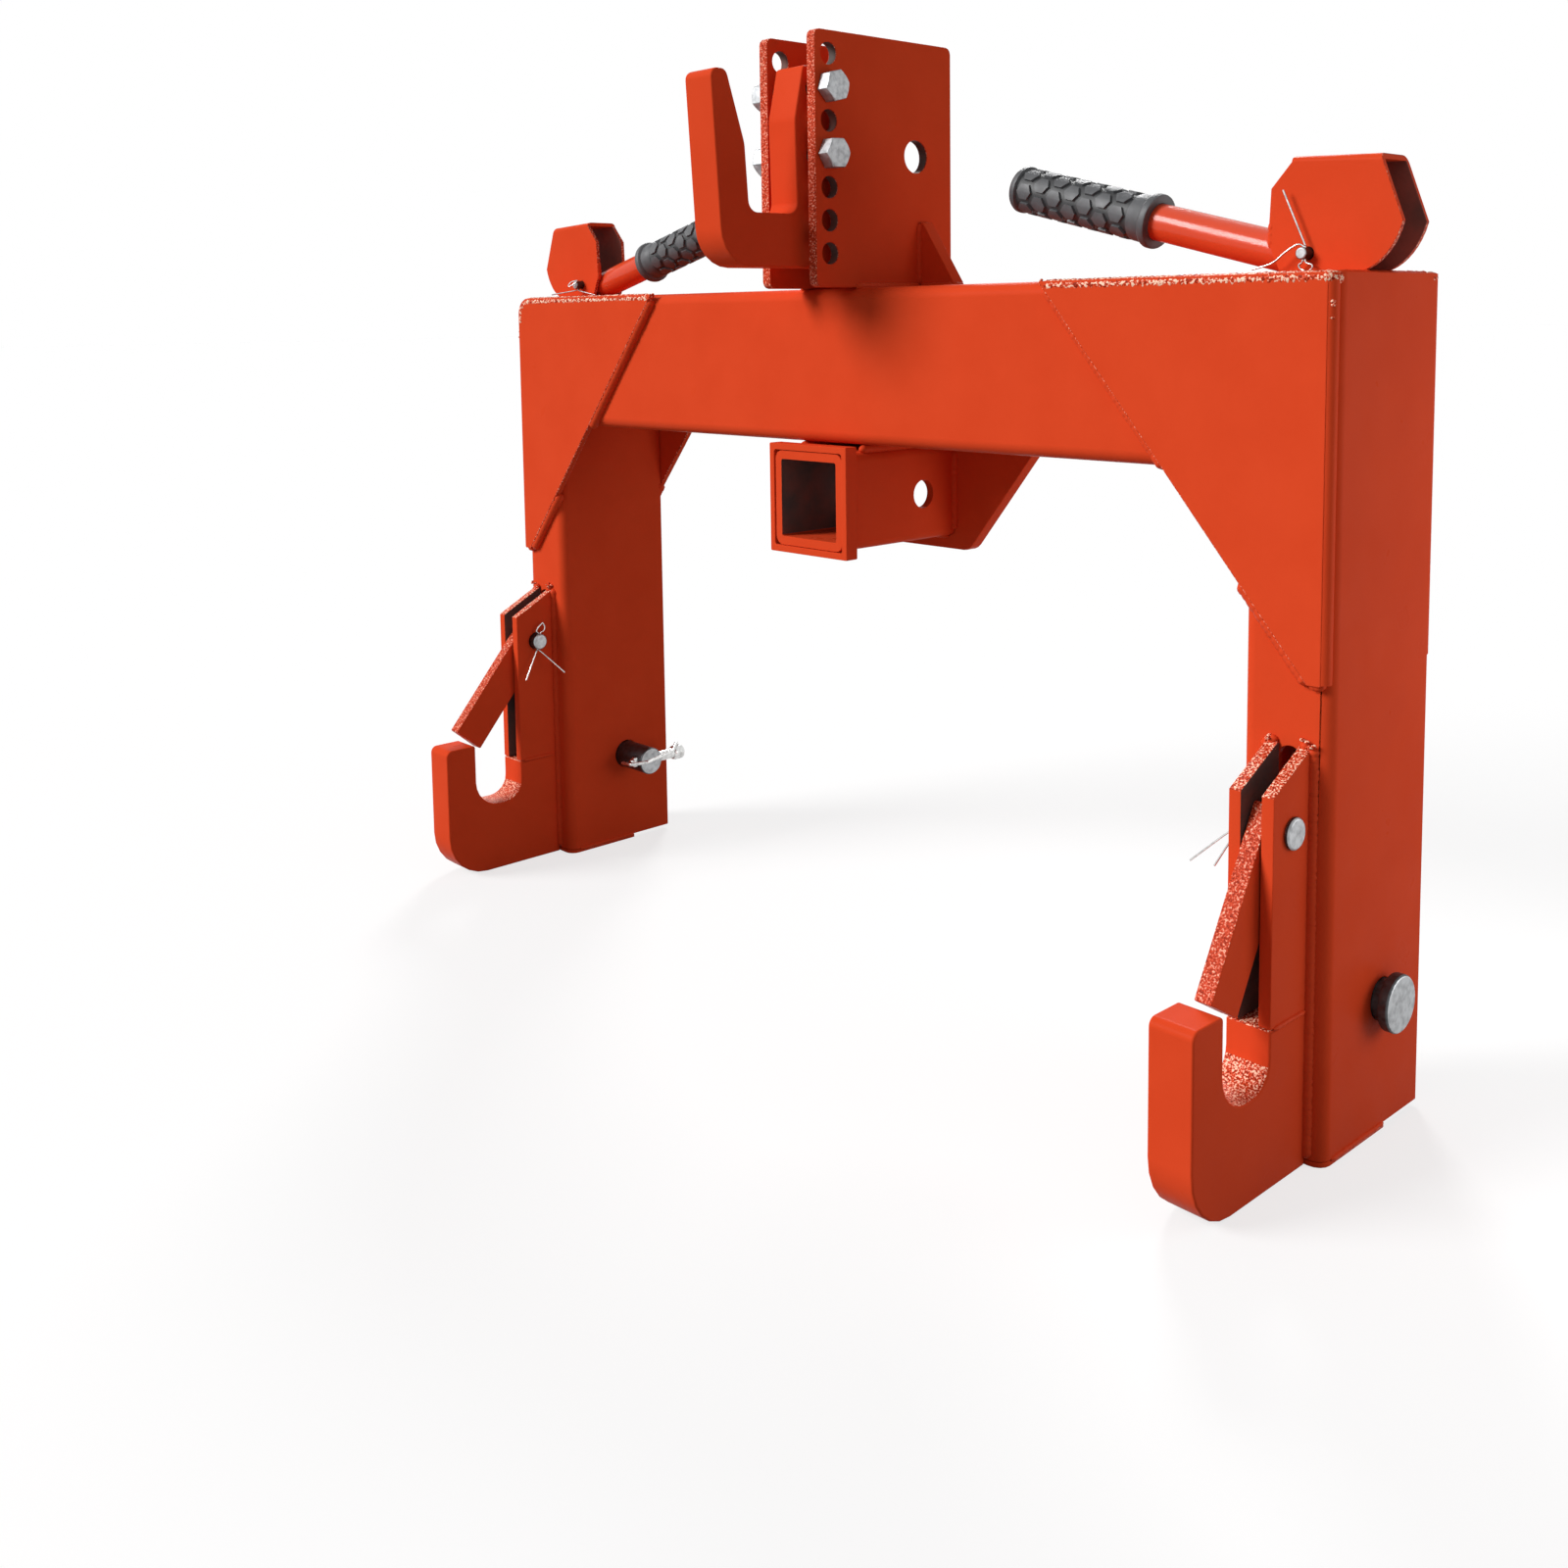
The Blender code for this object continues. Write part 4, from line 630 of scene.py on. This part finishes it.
class HITCH_OT_receiver(bpy.types.Operator):
    """Coat the receiver tube, its collar and its hanger plate"""

    bl_idname = "hitch.receiver"
    bl_label = "Receiver"

    def execute(self, context):
        low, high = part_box("receiver_tube")
        bore = (high.x - low.x) / 2 - 0.0035
        # Walls and roof of the bore take painted shade; its lit floor keeps the powder coat
        dress(
            "receiver_tube", [powder_coat(), painted_shade_coat()], TUBE_EDGE,
            inside=lambda face: looks_at(face, (low + high) / 2, (0, 2), bore)
            and abs(face.normal.y) < 0.5 and face.normal.z < 0.5)
        dress("receiver_collar", [powder_coat()], FOLDED_EDGE)
        dress("receiver_support", [powder_coat()])
        return {"FINISHED"}


class HITCH_OT_lower_hooks(bpy.types.Operator):
    """Coat the lower hooks, the latches and the cheeks that carry them"""

    bl_idname = "hitch.lower_hooks"
    bl_label = "Lower hooks and latches"

    def execute(self, context):
        coats = [powder_coat(), ground_weld()]
        for name, side in SIDES:
            gap = Vector((side * HOOK_MIDDLE, 0.0, 0.0))
            # A hook's turned-up faces below its top take painted glints
            dress(
                f"lower_hook_{name}", coats, THICK_CUT_EDGE, segments=3,
                rough=lambda face: turned_up(face) and face.calc_center_median().z < HOOK_HIGH.z - 0.015)
            for place in ("inner", "outer"):
                # Cheek faces turned to the hook's gap take painted shade, turned-up faces painted glints
                dress(
                    f"latch_cheek_{place}_{name}", [*coats, painted_shade_coat()], rough=turned_up,
                    inside=lambda face: looks_at(face, gap, (0,), 0.0065) and abs(face.normal.x) > 0.9)
            # A latch's front faces take painted glints and painted pit shade
            dress(
                f"latch_{name}", [powder_coat(), painted_glint_cut_coat()],
                rough=lambda face: face.normal.y < -0.3 and abs(face.normal.x) < 0.6)
        return {"FINISHED"}


class HITCH_OT_levers(bpy.types.Operator):
    """Coat the folded lever brackets, their handles and the lift rods"""

    bl_idname = "hitch.levers"
    bl_label = "Levers and lift rods"

    def execute(self, context):
        for name, _ in SIDES:
            low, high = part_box(f"lever_bracket_{name}")
            middle = (low + high) / 2
            coats = [powder_coat(), painted_glint_cut_coat(), bracket_inside()]
            # A bracket's sheet edges take painted glints, its inside painted shade
            dress(
                f"lever_bracket_{name}", coats, TURNED_EDGE,
                rough=lambda face: abs(face.normal.y) < 0.5 and deep(face) < 0.004,
                inside=lambda face: looks_at(face, middle, (1,), 0.0125) and abs(face.normal.x) < 0.9)
            dress(f"handle_tube_{name}", [glossy_coat()], TURNED_EDGE)
            dress(f"lift_rod_{name}", [zinc()], TURNED_EDGE)
        return {"FINISHED"}


class HITCH_OT_grips(bpy.types.Operator):
    """Make the rubber grips with their hexagon tread"""

    bl_idname = "hitch.grips"
    bl_label = "Grips"

    def execute(self, context):
        for name, side in SIDES:
            self.grip(name, side)
        return {"FINISHED"}

    def grip(self, name, side):
        """A sleeve with a flange and a rounded tip, and pads in staggered rows round it."""
        start, turn, length = handle_axis(name, side)
        lay_along = Matrix.Translation(start) @ turn.to_matrix().to_4x4()
        tread = looks().tread
        base = GRIP_RADIUS - tread
        shape = self.sleeve(base, length)
        bmesh.ops.transform(shape, matrix=lay_along, verts=shape.verts)
        rows = looks().tread_rows
        cell = 2 * math.pi * GRIP_RADIUS / rows / math.sqrt(3)
        pad = cell - PAD_GAP
        first, last = NECK + 0.0008 + pad, length - 0.0066 - pad
        columns = round((last - first) / (1.5 * cell)) + 1
        gap = (last - first) / (columns - 1)
        for column in range(columns):
            for row in range(rows):
                angle = 2 * math.pi * (row + 0.5 * (column % 2)) / rows
                self.pad(shape, lay_along, first + column * gap, angle, pad, base, tread)
        # The grooves' darker rubber is painted shade between the pads
        rubbers = [grip_rubber(), grip_rubber("grip_groove_painted_shade", 0.35)]
        add_piece(f"grip_{name}_tread", shape, f"lever_{name}", rubbers, [f"grip_{name}"], 50.0)

    def sleeve(self, base, length):
        """The grip without its pads, turned from its outline; the grooves take the second material, a
        darker rubber as painted shade.
        """
        rim, lip = FLANGE_RADIUS, GRIP_RADIUS + 0.0004
        bore = [(0.0, length - 0.0035), (TUBE_RADIUS, length - 0.0035), (TUBE_RADIUS, 0.0)]
        flange = [
            (rim - 0.0012, 0.0), (rim - 0.0003, 0.0003), (rim, 0.0012), (rim, 0.0038),
            (rim - 0.0004, 0.0047), (GRIP_RADIUS, 0.0056), (GRIP_RADIUS - 0.0002, NECK - 0.0012)]
        tip = [
            (lip, length - 0.0050), (lip, length - 0.0026), (lip - 0.0010, length - 0.0010),
            (lip - 0.0030, length - 0.0002), (lip - 0.0060, length), (0.0, length)]
        outline = [*bore, *flange, (base, NECK), (base, length - 0.0060), *tip]
        shape = bmesh.new()
        ring = [shape.verts.new((reach, 0.0, along)) for reach, along in outline]
        for pair in zip(ring, ring[1:]):
            shape.edges.new(pair)
        bmesh.ops.spin(
            shape, geom=shape.verts[:] + shape.edges[:], cent=(0, 0, 0), axis=(0, 0, 1),
            angle=2 * math.pi, steps=48, use_merge=True)
        bmesh.ops.remove_doubles(shape, verts=shape.verts, dist=1e-6)
        bmesh.ops.recalc_face_normals(shape, faces=shape.faces)
        for face in shape.faces:
            spot = face.calc_center_median()
            if NECK < spot.z < length - 0.0061 and Vector((spot.x, spot.y)).length > TUBE_RADIUS:
                face.material_index = 1
        return shape

    def pad(self, shape, lay_along, along, angle, size, base, tread):
        """One hexagon pad, wrapped round the sleeve and raised from it."""
        made = bmesh.new()
        quarter = Matrix.Rotation(math.pi / 2, 4, "Z")
        bmesh.ops.create_circle(made, cap_ends=True, segments=6, radius=size, matrix=quarter)
        for cut in (-0.65, -0.35, 0.0, 0.35, 0.65):
            geometry = made.verts[:] + made.edges[:] + made.faces[:]
            bmesh.ops.bisect_plane(made, geom=geometry, plane_co=(0, cut * size, 0), plane_no=(0, 1, 0))
        raised = bmesh.ops.extrude_face_region(made, geom=made.faces[:])
        lifted = [item for item in raised["geom"] if isinstance(item, bmesh.types.BMVert)]
        shrink = (size - 0.0004) / size
        bmesh.ops.scale(made, vec=(shrink, shrink, 1.0), verts=lifted)
        bmesh.ops.translate(made, vec=(0, 0, tread), verts=lifted)
        bmesh.ops.recalc_face_normals(made, faces=made.faces)
        limit = base + tread
        for vert in made.verts:
            turn = angle + vert.co.y / limit
            reach = base - 0.0003 + (vert.co.z / tread) * (tread + 0.0003)
            spot = Vector((reach * math.cos(turn), reach * math.sin(turn), along + vert.co.x))
            vert.co = lay_along @ spot
        mesh = bpy.data.meshes.new("pad")
        made.to_mesh(mesh)
        made.free()
        shape.from_mesh(mesh)
        bpy.data.meshes.remove(mesh)


class HITCH_OT_fasteners(bpy.types.Operator):
    """Finish the hook's bolts and nuts, with the thread on the bolts' ends"""

    bl_idname = "hitch.fasteners"
    bl_label = "Hook bolts and nuts"

    def execute(self, context):
        for name in ("upper", "lower"):
            dress(f"hook_bolt_{name}", [zinc()], TURNED_EDGE)
            dress(f"hook_nut_{name}", [zinc()], TURNED_EDGE)
            self.thread(name)
        return {"FINISHED"}

    def thread(self, name):
        """A ridge wound round the bolt's end, from its tip into the nut."""
        low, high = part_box(f"hook_bolt_{name}")
        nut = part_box(f"hook_nut_{name}")[0].x
        axis = Vector((0.0, (low.y + high.y) / 2, (low.z + high.z) / 2))
        shank = [vert.co for vert in frame["nodes"][f"hook_bolt_{name}"].data.vertices if vert.co.x < nut]
        radius = max(Vector((co.y - axis.y, co.z - axis.z)).length for co in shank) - THREAD_RIDGE / 2
        turns = (nut - low.x) / THREAD_PITCH
        steps = round(turns * 20)
        route = []
        for i in range(steps + 1):
            angle = 2 * math.pi * turns * i / steps
            along = low.x + 0.0008 + (nut - low.x) * i / steps
            route.append(axis + Vector((along, radius * math.cos(angle), radius * math.sin(angle))))
        wire_piece(f"hook_bolt_{name}_thread", [route], THREAD_RIDGE, "frame", zinc())


class HITCH_OT_pins(bpy.types.Operator):
    """Finish the link pins, lynch pins, latch pins and lever pins"""

    bl_idname = "hitch.pins"
    bl_label = "Pins"

    def execute(self, context):
        for name, _ in SIDES:
            # Shafts take the dark oxide, partly as painted shade; the end faces, passed as inner ones,
            # take bright zinc
            ends = [oxide_and_shaft_shade(), zinc()]
            dress(
                f"link_pin_{name}", ends, TUBE_EDGE,
                inside=lambda face: abs(face.normal.x) > 0.8)
            dress(f"lynch_pin_{name}", [spring_steel()], TURNED_EDGE)
            dress(f"lynch_bail_{name}", [spring_steel()], WIRE_EDGE)
            dress(
                f"latch_pin_{name}", ends, TURNED_EDGE,
                inside=lambda face: abs(face.normal.x) > 0.3)
            dress(
                f"lever_pin_{name}", ends, WIRE_EDGE,
                inside=lambda face: abs(face.normal.y) > 0.3)
        return {"FINISHED"}


class HITCH_OT_cotters(bpy.types.Operator):
    """Bend the split cotters of the latch pins and lever pins"""

    bl_idname = "hitch.cotters"
    bl_label = "Split cotters"

    def execute(self, context):
        for name, side in SIDES:
            self.lever_cotter(name, side)
            self.latch_cotter(name, side)
        return {"FINISHED"}

    def lever_cotter(self, name, side):
        """The cotter at the front end of a lever's pin."""
        low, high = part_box(f"lever_pin_{name}")
        hole = Vector(((low.x + high.x) / 2, low.y + COTTER_HOLE, (low.z + high.z) / 2))
        self.bend(f"lever_cotter_{name}", hole, side, LEVER_COTTERS[name], f"lever_{name}")

    def latch_cotter(self, name, side):
        """The cotter at the inner end of a latch's pin."""
        low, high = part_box(f"latch_pin_{name}")
        inner = low.x if side > 0 else high.x
        hole = Vector((inner + side * COTTER_HOLE, (low.y + high.y) / 2, (low.z + high.z) / 2))
        self.bend(f"latch_cotter_{name}", hole, side, LATCH_COTTERS[name], "frame")

    def bend(self, node, hole, side, legs, body):
        """Two half round legs side by side in the pin's hole, open at their ends, an eye at the head."""
        half = looks().wire / 2
        eye, first, second, across = legs
        routes = []
        for leg, out in ((first, 1), (second, -1)):
            shift = Vector([out * half * part for part in across])
            middle = [(0.0, 0.0, 0.5 * reach) for reach in (eye[0][2], leg[0][2])]
            points = [*(Vector(p) + shift * swell for p, swell in zip(eye[::-1], EYE_SWELL)),
                      *(Vector(p) * 0.6 + shift for p in middle), *(Vector(p) + shift for p in leg)]
            routes.append(smooth_path([hole + Vector((side * p.x, p.y, p.z)) for p in points]))
        wire_piece(f"{node}_wire", routes, half, body, spring_steel(), [node])


class HITCH_OT_welds(bpy.types.Operator):
    """Lay the coated weld beads of the frame, the mast, the receiver, the hooks and the levers"""

    bl_idname = "hitch.welds"
    bl_label = "Welds"

    def execute(self, context):
        for name, side in SIDES:
            self.gussets(name, side)
            self.leg(name, side)
            self.mast(name, side)
            self.hook(name, side)
            self.lever(name, side)
        self.receiver()
        return {"FINISHED"}

    def lay(self, name, runs, body="frame", material=None):
        """Runs are (corners, radius); each group of runs is one piece."""
        curve = round_curve(name, 1.0, 2)
        chance = random.Random(name)
        for corners, size in runs:
            lay_bead(curve, corners, size, chance)
        add_mesh(name, mesh_of(curve), body, [material or coated_weld()], sharp=80.0)

    def spatter(self, name, places, body="frame"):
        """Small blobs of weld thrown around places, speckled with painted glints."""
        shape = bmesh.new()
        chance = random.Random(name)
        for place, spread, count in places:
            for _ in range(count):
                shift = Vector([chance.gauss(0, part) for part in spread])
                size = chance.uniform(0.0005, 0.0013)
                at = Matrix.Translation(Vector(place) + shift) @ Matrix.Diagonal((1.2, 1.0, 0.8, 1.0))
                bmesh.ops.create_icosphere(shape, subdivisions=2, radius=size, matrix=at)
        add_piece(name, shape, body, [ground_weld()])

    def gussets(self, name, side):
        """Fillets along the slants, filled outer corners and ground welds along the upper edges, the last
        speckled with painted glints.
        """
        bead = looks().bead
        low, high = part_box(f"gusset_front_{name}")
        thick = FRONT - low.y
        outer = max(abs(low.x), abs(high.x)) * side
        point = min(abs(low.x), abs(high.x)) * side
        toe = outer - side * 0.008
        slope = (low.z - TOP) / (toe - point)
        under_beam = point + (UNDER - TOP) / slope
        shift = Vector((-0.0004 * side, 0.0, -0.0003))
        slants, corners, edges = [], [], []
        for place, y, out in (("front", FRONT, -1), ("rear", REAR, 1)):
            ground = GROUND_CORNERS.get(f"{place}_{name}", 0.0)
            face = y + out * 0.0012
            for start, end in ((point + side * 0.003, under_beam), (side * LEG_LOW.x, toe)):
                ends = [Vector((x, face, TOP + slope * (x - point))) + shift for x in (start, end)]
                slants.append((ends, 1.45 * bead))
            slants.append(([(toe, face, low.z), (outer, face, low.z)], 1.1 * bead))
            reach = TOP - 0.0004 - ground, low.z + 0.001
            corners.append([Vector((outer - side * 0.0016, y + out * 0.0004, z)) for z in reach])
            arris, level = y + out * (thick - 0.0030), TOP - 0.0027
            edges.append(([
                (point + side * 0.002, arris, level),
                *self.corner_turn(side, outer, ground, arris, level, y - out * 0.006)], 1.35 * bead))
        self.lay(f"weld_gussets_{name}", slants)
        wire_piece(
            f"weld_corners_{name}", corners, 1.80 * bead, "frame", powder_coat(), resolution=5)
        self.lay(f"weld_top_edges_{name}", edges, material=painted_glint_edge_weld())
        down = GROUND_CORNERS.get(f"front_{name}", 0.0) + 0.022
        self.spatter(f"spatter_gussets_{name}", [
            ((point + side * 0.002, FRONT - 0.0030, TOP - 0.002), (0.0015, 0.0006, 0.0012), 5),
            ((outer + side * 0.0012, FRONT - 0.0030, TOP - down), (0.0005, 0.0005, 0.006), 5),
        ])

    def corner_turn(self, side, outer, ground, arris, level, inwards):
        """How an upper edge's weld ends: down a ground corner, or round a square one."""
        if not ground:
            turn = outer - side * 0.0004
            return [(turn, arris, level), (turn + side * 0.0010, inwards, level - 0.0004)]
        radius = ground - 0.0027
        bend = []
        for angle in (0.0, 0.4, 0.8, 1.2, math.pi / 2):
            x = outer - side * (ground - radius * math.sin(angle))
            bend.append((x, arris, level - radius * (1 - math.cos(angle))))
        return [*bend, (bend[-1][0], arris, bend[-1][2] - 0.008)]

    def leg(self, name, side):
        """Welds of a leg to the beam and to its foot plate."""
        bead = looks().bead
        inner, outer = LEG_LOW.x * side, LEG_HIGH.x * side
        wall = (BEAM_HIGH.x + 0.0006) * side
        foot = LEG_LOW.z
        runs = [
            ([(wall, FRONT + 0.006, TOP - 0.001), (wall, REAR - 0.003, TOP - 0.001)], 0.8 * bead),
            ([(inner, FRONT + 0.007, UNDER - 0.0002), (inner, REAR, UNDER - 0.0002)], bead),
            ([(inner + side * 0.006, REAR - 0.0004, UNDER), (inner, REAR - 0.0004, UNDER)], bead),
            ([(inner, FRONT + 0.009, foot), (inner, FRONT + 0.064, foot)], 0.5 * bead),
            ([(outer, FRONT + 0.009, foot), (outer, FRONT + 0.064, foot)], 0.5 * bead),
        ]
        self.lay(f"weld_leg_{name}", runs)

    def mast(self, name, side):
        """Welds of a mast plate and its rib to the beam and to each other."""
        bead = looks().bead
        low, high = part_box(f"mast_plate_{name}")
        outer = max(abs(low.x), abs(high.x)) * side
        rib_low, rib_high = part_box(f"mast_rib_{name}")
        far = max(abs(rib_low.x), abs(rib_high.x)) * side
        runs = [
            ([(outer, FRONT + 0.004, TOP + 0.0006), (outer, rib_low.y, TOP + 0.0006)], 1.1 * bead),
            ([(outer, rib_high.y, TOP + 0.0006), (outer, high.y, TOP + 0.0006)], 1.1 * bead),
            ([(outer - side * 0.0075, high.y, TOP + 0.0006), (outer, high.y, TOP + 0.0006)], bead),
            ([(far, rib_low.y, TOP + 0.0006), (far, rib_high.y, TOP + 0.0006)], bead),
        ]
        for y in (rib_low.y, rib_high.y):
            runs += [
                ([(outer + side * 0.002, y, TOP + 0.0006), (far, y, TOP + 0.0006)], bead),
                ([(outer, y, TOP + 0.002), (outer, y, rib_high.z - 0.001)], 0.9 * bead),
            ]
        self.lay(f"weld_mast_{name}", runs)

    def hook(self, name, side):
        """Welds of a lower hook and its cheeks, with spatter over the hook."""
        bead = looks().bead
        half = (HOOK_HIGH.x - HOOK_LOW.x) / 2
        runs = []
        for out in (-1, 1):
            x = side * HOOK_MIDDLE + out * half
            face = FRONT + 0.0004
            runs += [
                ([(x, face, HOOK_LOW.z + 0.004), (x, face, CHEEK_HIGH.z + 0.001)], 1.35 * bead),
                ([(x, CHEEK_LOW.y + 0.003, CHEEK_LOW.z), (x, FRONT - 0.003, CHEEK_LOW.z)], 0.5 * bead),
                ([(x - out * 0.001, FRONT - 0.0008, CHEEK_HIGH.z + 0.0004),
                  (x - out * 0.006, FRONT - 0.0008, CHEEK_HIGH.z + 0.0004)], 1.15 * bead),
            ]
        self.lay(f"weld_hook_{name}", runs)
        self.spatter(f"spatter_hook_{name}", [
            ((side * HOOK_MIDDLE + out * (half - 0.003), FRONT - 0.0020, CHEEK_HIGH.z + 0.001),
             (0.0022, 0.0010, 0.0020), 9) for out in (-1, 1)])

    def lever(self, name, side):
        """Short welds of a handle tube in its bracket."""
        bead = looks().bead
        low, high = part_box(f"lever_bracket_{name}")
        inner = (low.x if side > 0 else high.x)
        runs = []
        for y, out in ((low.y, 1), (high.y, -1)):
            face = y + out * 0.0018
            start = Vector((inner + side * 0.001, face, TOP + 0.014))
            runs.append(([start, (inner + side * 0.0016, face, TOP + 0.029)], 0.8 * bead))
        self.lay(f"weld_lever_{name}", runs, f"lever_{name}")

    def receiver(self):
        """Welds of the receiver, its collar and its hanger plate."""
        bead = looks().bead
        tube_low, tube_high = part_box("receiver_tube")
        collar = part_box("receiver_collar")[1].y
        hang_low, hang_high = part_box("receiver_support")
        front, back = hang_low.y, hang_high.y
        floor, roof = tube_low.z, tube_high.z
        runs = []
        for out in (-1, 1):
            x = tube_high.x * out
            lifted = (x - out * 0.004, roof + 0.0018)
            runs += [
                ([(lifted[0], FRONT + 0.004, lifted[1]), (lifted[0], front, lifted[1])], 1.15 * bead),
                ([(x, front, roof - 0.004), (x, front, floor + 0.005)], 1.2 * bead),
                ([(x, collar, roof - 0.006), (x, collar, floor + 0.006)], 0.7 * bead),
            ]
        across = (
            (hang_low.x + 0.004, hang_high.x - 0.004, front, UNDER, 1.1),
            (-0.026, 0.026, front, floor, 1.0),
            (-0.026, 0.026, collar, floor, 0.7), (-0.026, 0.026, collar, roof, 0.7),
            (-0.028, 0.028, back, floor, 1.0))
        runs += [([(left, y, z), (right, y, z)], share * bead) for left, right, y, z, share in across]
        self.lay("weld_receiver", runs)


class HITCH_OT_stage(bpy.types.Operator):
    """Set the pale floor, the soft lamps, the white surroundings and the camera"""

    bl_idname = "hitch.stage"
    bl_label = "Stage"

    def execute(self, context):
        self.floor()
        self.world()
        self.lamps()
        self.camera()
        context.scene.view_settings.view_transform = "Standard"
        return {"FINISHED"}

    def seen_directly(self, tree):
        """1 for rays that show the background, 0 for those that light the hitch."""
        rays = tree.nodes.new("ShaderNodeLightPath")
        first = tree.nodes.new("ShaderNodeMath")
        second = tree.nodes.new("ShaderNodeMath")
        for node in (first, second):
            node.operation = "MAXIMUM"
        tree.links.new(rays.outputs["Is Camera Ray"], first.inputs[0])
        tree.links.new(rays.outputs["Is Glossy Ray"], first.inputs[1])
        tree.links.new(first.outputs[0], second.inputs[0])
        tree.links.new(rays.outputs["Is Transmission Ray"], second.inputs[1])
        return second.outputs[0]

    def scaled(self, tree, value, factor, plus):
        """A value times a factor, plus a number."""
        node = tree.nodes.new("ShaderNodeMath")
        node.operation = "MULTIPLY_ADD"
        node.inputs[1].default_value = factor
        node.inputs[2].default_value = plus
        tree.links.new(value, node.inputs[0])
        return node.outputs[0]

    def floor(self):
        """A large matt floor, lifted to white for the camera where nothing shades it."""
        shape = bmesh.new()
        bmesh.ops.create_grid(shape, x_segments=1, y_segments=1, size=40.0)
        mesh = bpy.data.meshes.new("studio_floor")
        shape.to_mesh(mesh)
        shape.free()
        obj = bpy.data.objects.new("studio_floor", mesh)
        bpy.context.scene.collection.objects.link(obj)
        material = bpy.data.materials.new("pale_floor")
        material.use_nodes = True
        tree = material.node_tree
        tree.nodes.clear()
        suns = ((Vector(source).normalized().z, strength) for _, source, strength, _ in SUN_LAMPS)
        lamps = sum(strength * height / math.pi for height, strength in suns)
        lift_share = 1.0 - FLOOR_SHADE * (ROOM_LIGHT + lamps)
        matt = tree.nodes.new("ShaderNodeBsdfDiffuse")
        matt.inputs["Color"].default_value = (FLOOR_SHADE, FLOOR_SHADE, FLOOR_SHADE, 1.0)
        lift = tree.nodes.new("ShaderNodeEmission")
        both = tree.nodes.new("ShaderNodeAddShader")
        out = tree.nodes.new("ShaderNodeOutputMaterial")
        shown = self.scaled(tree, self.seen_directly(tree), lift_share, 0.0)
        tree.links.new(shown, lift.inputs["Strength"])
        tree.links.new(matt.outputs[0], both.inputs[0])
        tree.links.new(lift.outputs[0], both.inputs[1])
        tree.links.new(both.outputs[0], out.inputs["Surface"])
        mesh.materials.append(material)

    def world(self):
        """White to the camera, and a dimmer light from all round to the hitch."""
        world = bpy.data.worlds.new("white_room")
        world.use_nodes = True
        tree = world.node_tree
        glow = tree.nodes["Background"]
        glow.inputs["Color"].default_value = (1.0, 1.0, 1.0, 1.0)
        shown = self.scaled(tree, self.seen_directly(tree), 1.0 - ROOM_LIGHT, ROOM_LIGHT)
        tree.links.new(shown, glow.inputs["Strength"])
        bpy.context.scene.world = world

    def lamps(self):
        """The suns, and a small soft lamp at the right."""
        for name, source, strength, spread in SUN_LAMPS:
            light = bpy.data.lights.new(name, "SUN")
            light.energy = strength
            light.angle = math.radians(spread)
            obj = bpy.data.objects.new(name, light)
            obj.rotation_mode = "QUATERNION"
            obj.rotation_quaternion = Vector(source).to_track_quat("Z", "Y")
            bpy.context.scene.collection.objects.link(obj)
        soft = bpy.data.lights.new("side_lamp", "AREA")
        soft.energy, soft.size = SIDE_LAMP_POWER, SIDE_LAMP_SIZE
        obj = bpy.data.objects.new("side_lamp", soft)
        aim = Vector(SIDE_LAMP_PLACE) - Vector(SIDE_LAMP_AIM)
        obj.matrix_world = Matrix.LocRotScale(SIDE_LAMP_PLACE, aim.to_track_quat("Z", "Y"), None)
        obj.visible_camera = False
        bpy.context.scene.collection.objects.link(obj)

    def camera(self):
        """The photograph's camera."""
        lens = bpy.data.cameras.new("photo_view")
        lens.sensor_width = 36.0
        lens.lens = CAMERA_LENS
        lens.shift_y = CAMERA_SHIFT
        lens.clip_start, lens.clip_end = 0.02, 100.0
        obj = bpy.data.objects.new("photo_view", lens)
        turn, dip, roll = CAMERA_TURN, CAMERA_DIP, CAMERA_ROLL
        ahead = Vector((-math.sin(turn) * math.cos(dip), math.cos(turn) * math.cos(dip), -math.sin(dip)))
        right = Vector((math.cos(turn), math.sin(turn), 0.0))
        up = right.cross(ahead)
        right, up = (
            math.cos(roll) * right + math.sin(roll) * up,
            math.cos(roll) * up - math.sin(roll) * right)
        axes = Matrix((right, up, -ahead)).transposed().to_4x4()
        obj.matrix_world = Matrix.Translation(CAMERA_PLACE) @ axes
        bpy.context.scene.collection.objects.link(obj)
        bpy.context.scene.camera = obj


OPERATORS = (
    HITCH_OT_frame_steel,
    HITCH_OT_mast,
    HITCH_OT_receiver,
    HITCH_OT_lower_hooks,
    HITCH_OT_levers,
    HITCH_OT_grips,
    HITCH_OT_fasteners,
    HITCH_OT_pins,
    HITCH_OT_cotters,
    HITCH_OT_welds,
    HITCH_OT_stage,
)


class HITCH_PT_looks(bpy.types.Panel):
    """Lists the hitch's settings and the steps that dress it"""

    bl_idname = "HITCH_PT_looks"
    bl_label = "Receiver hitch"
    bl_space_type = "VIEW_3D"
    bl_region_type = "UI"
    bl_category = "Hitch"

    def draw(self, context):
        for name in HitchLooks.__annotations__:
            self.layout.prop(context.scene.hitch_looks, name)
        for operator in OPERATORS:
            self.layout.operator(operator.bl_idname)


CLASSES = (HitchLooks, *OPERATORS, HITCH_PT_looks)


def register():
    for cls in CLASSES:
        bpy.utils.register_class(cls)
    bpy.types.Scene.hitch_looks = PointerProperty(type=HitchLooks)


def unregister():
    del bpy.types.Scene.hitch_looks
    for cls in reversed(CLASSES):
        bpy.utils.unregister_class(cls)


def main():
    register()
    for operator in OPERATORS:
        group, action = operator.bl_idname.split(".")
        getattr(getattr(bpy.ops, group), action)()


if __name__ == "__main__":
    main()
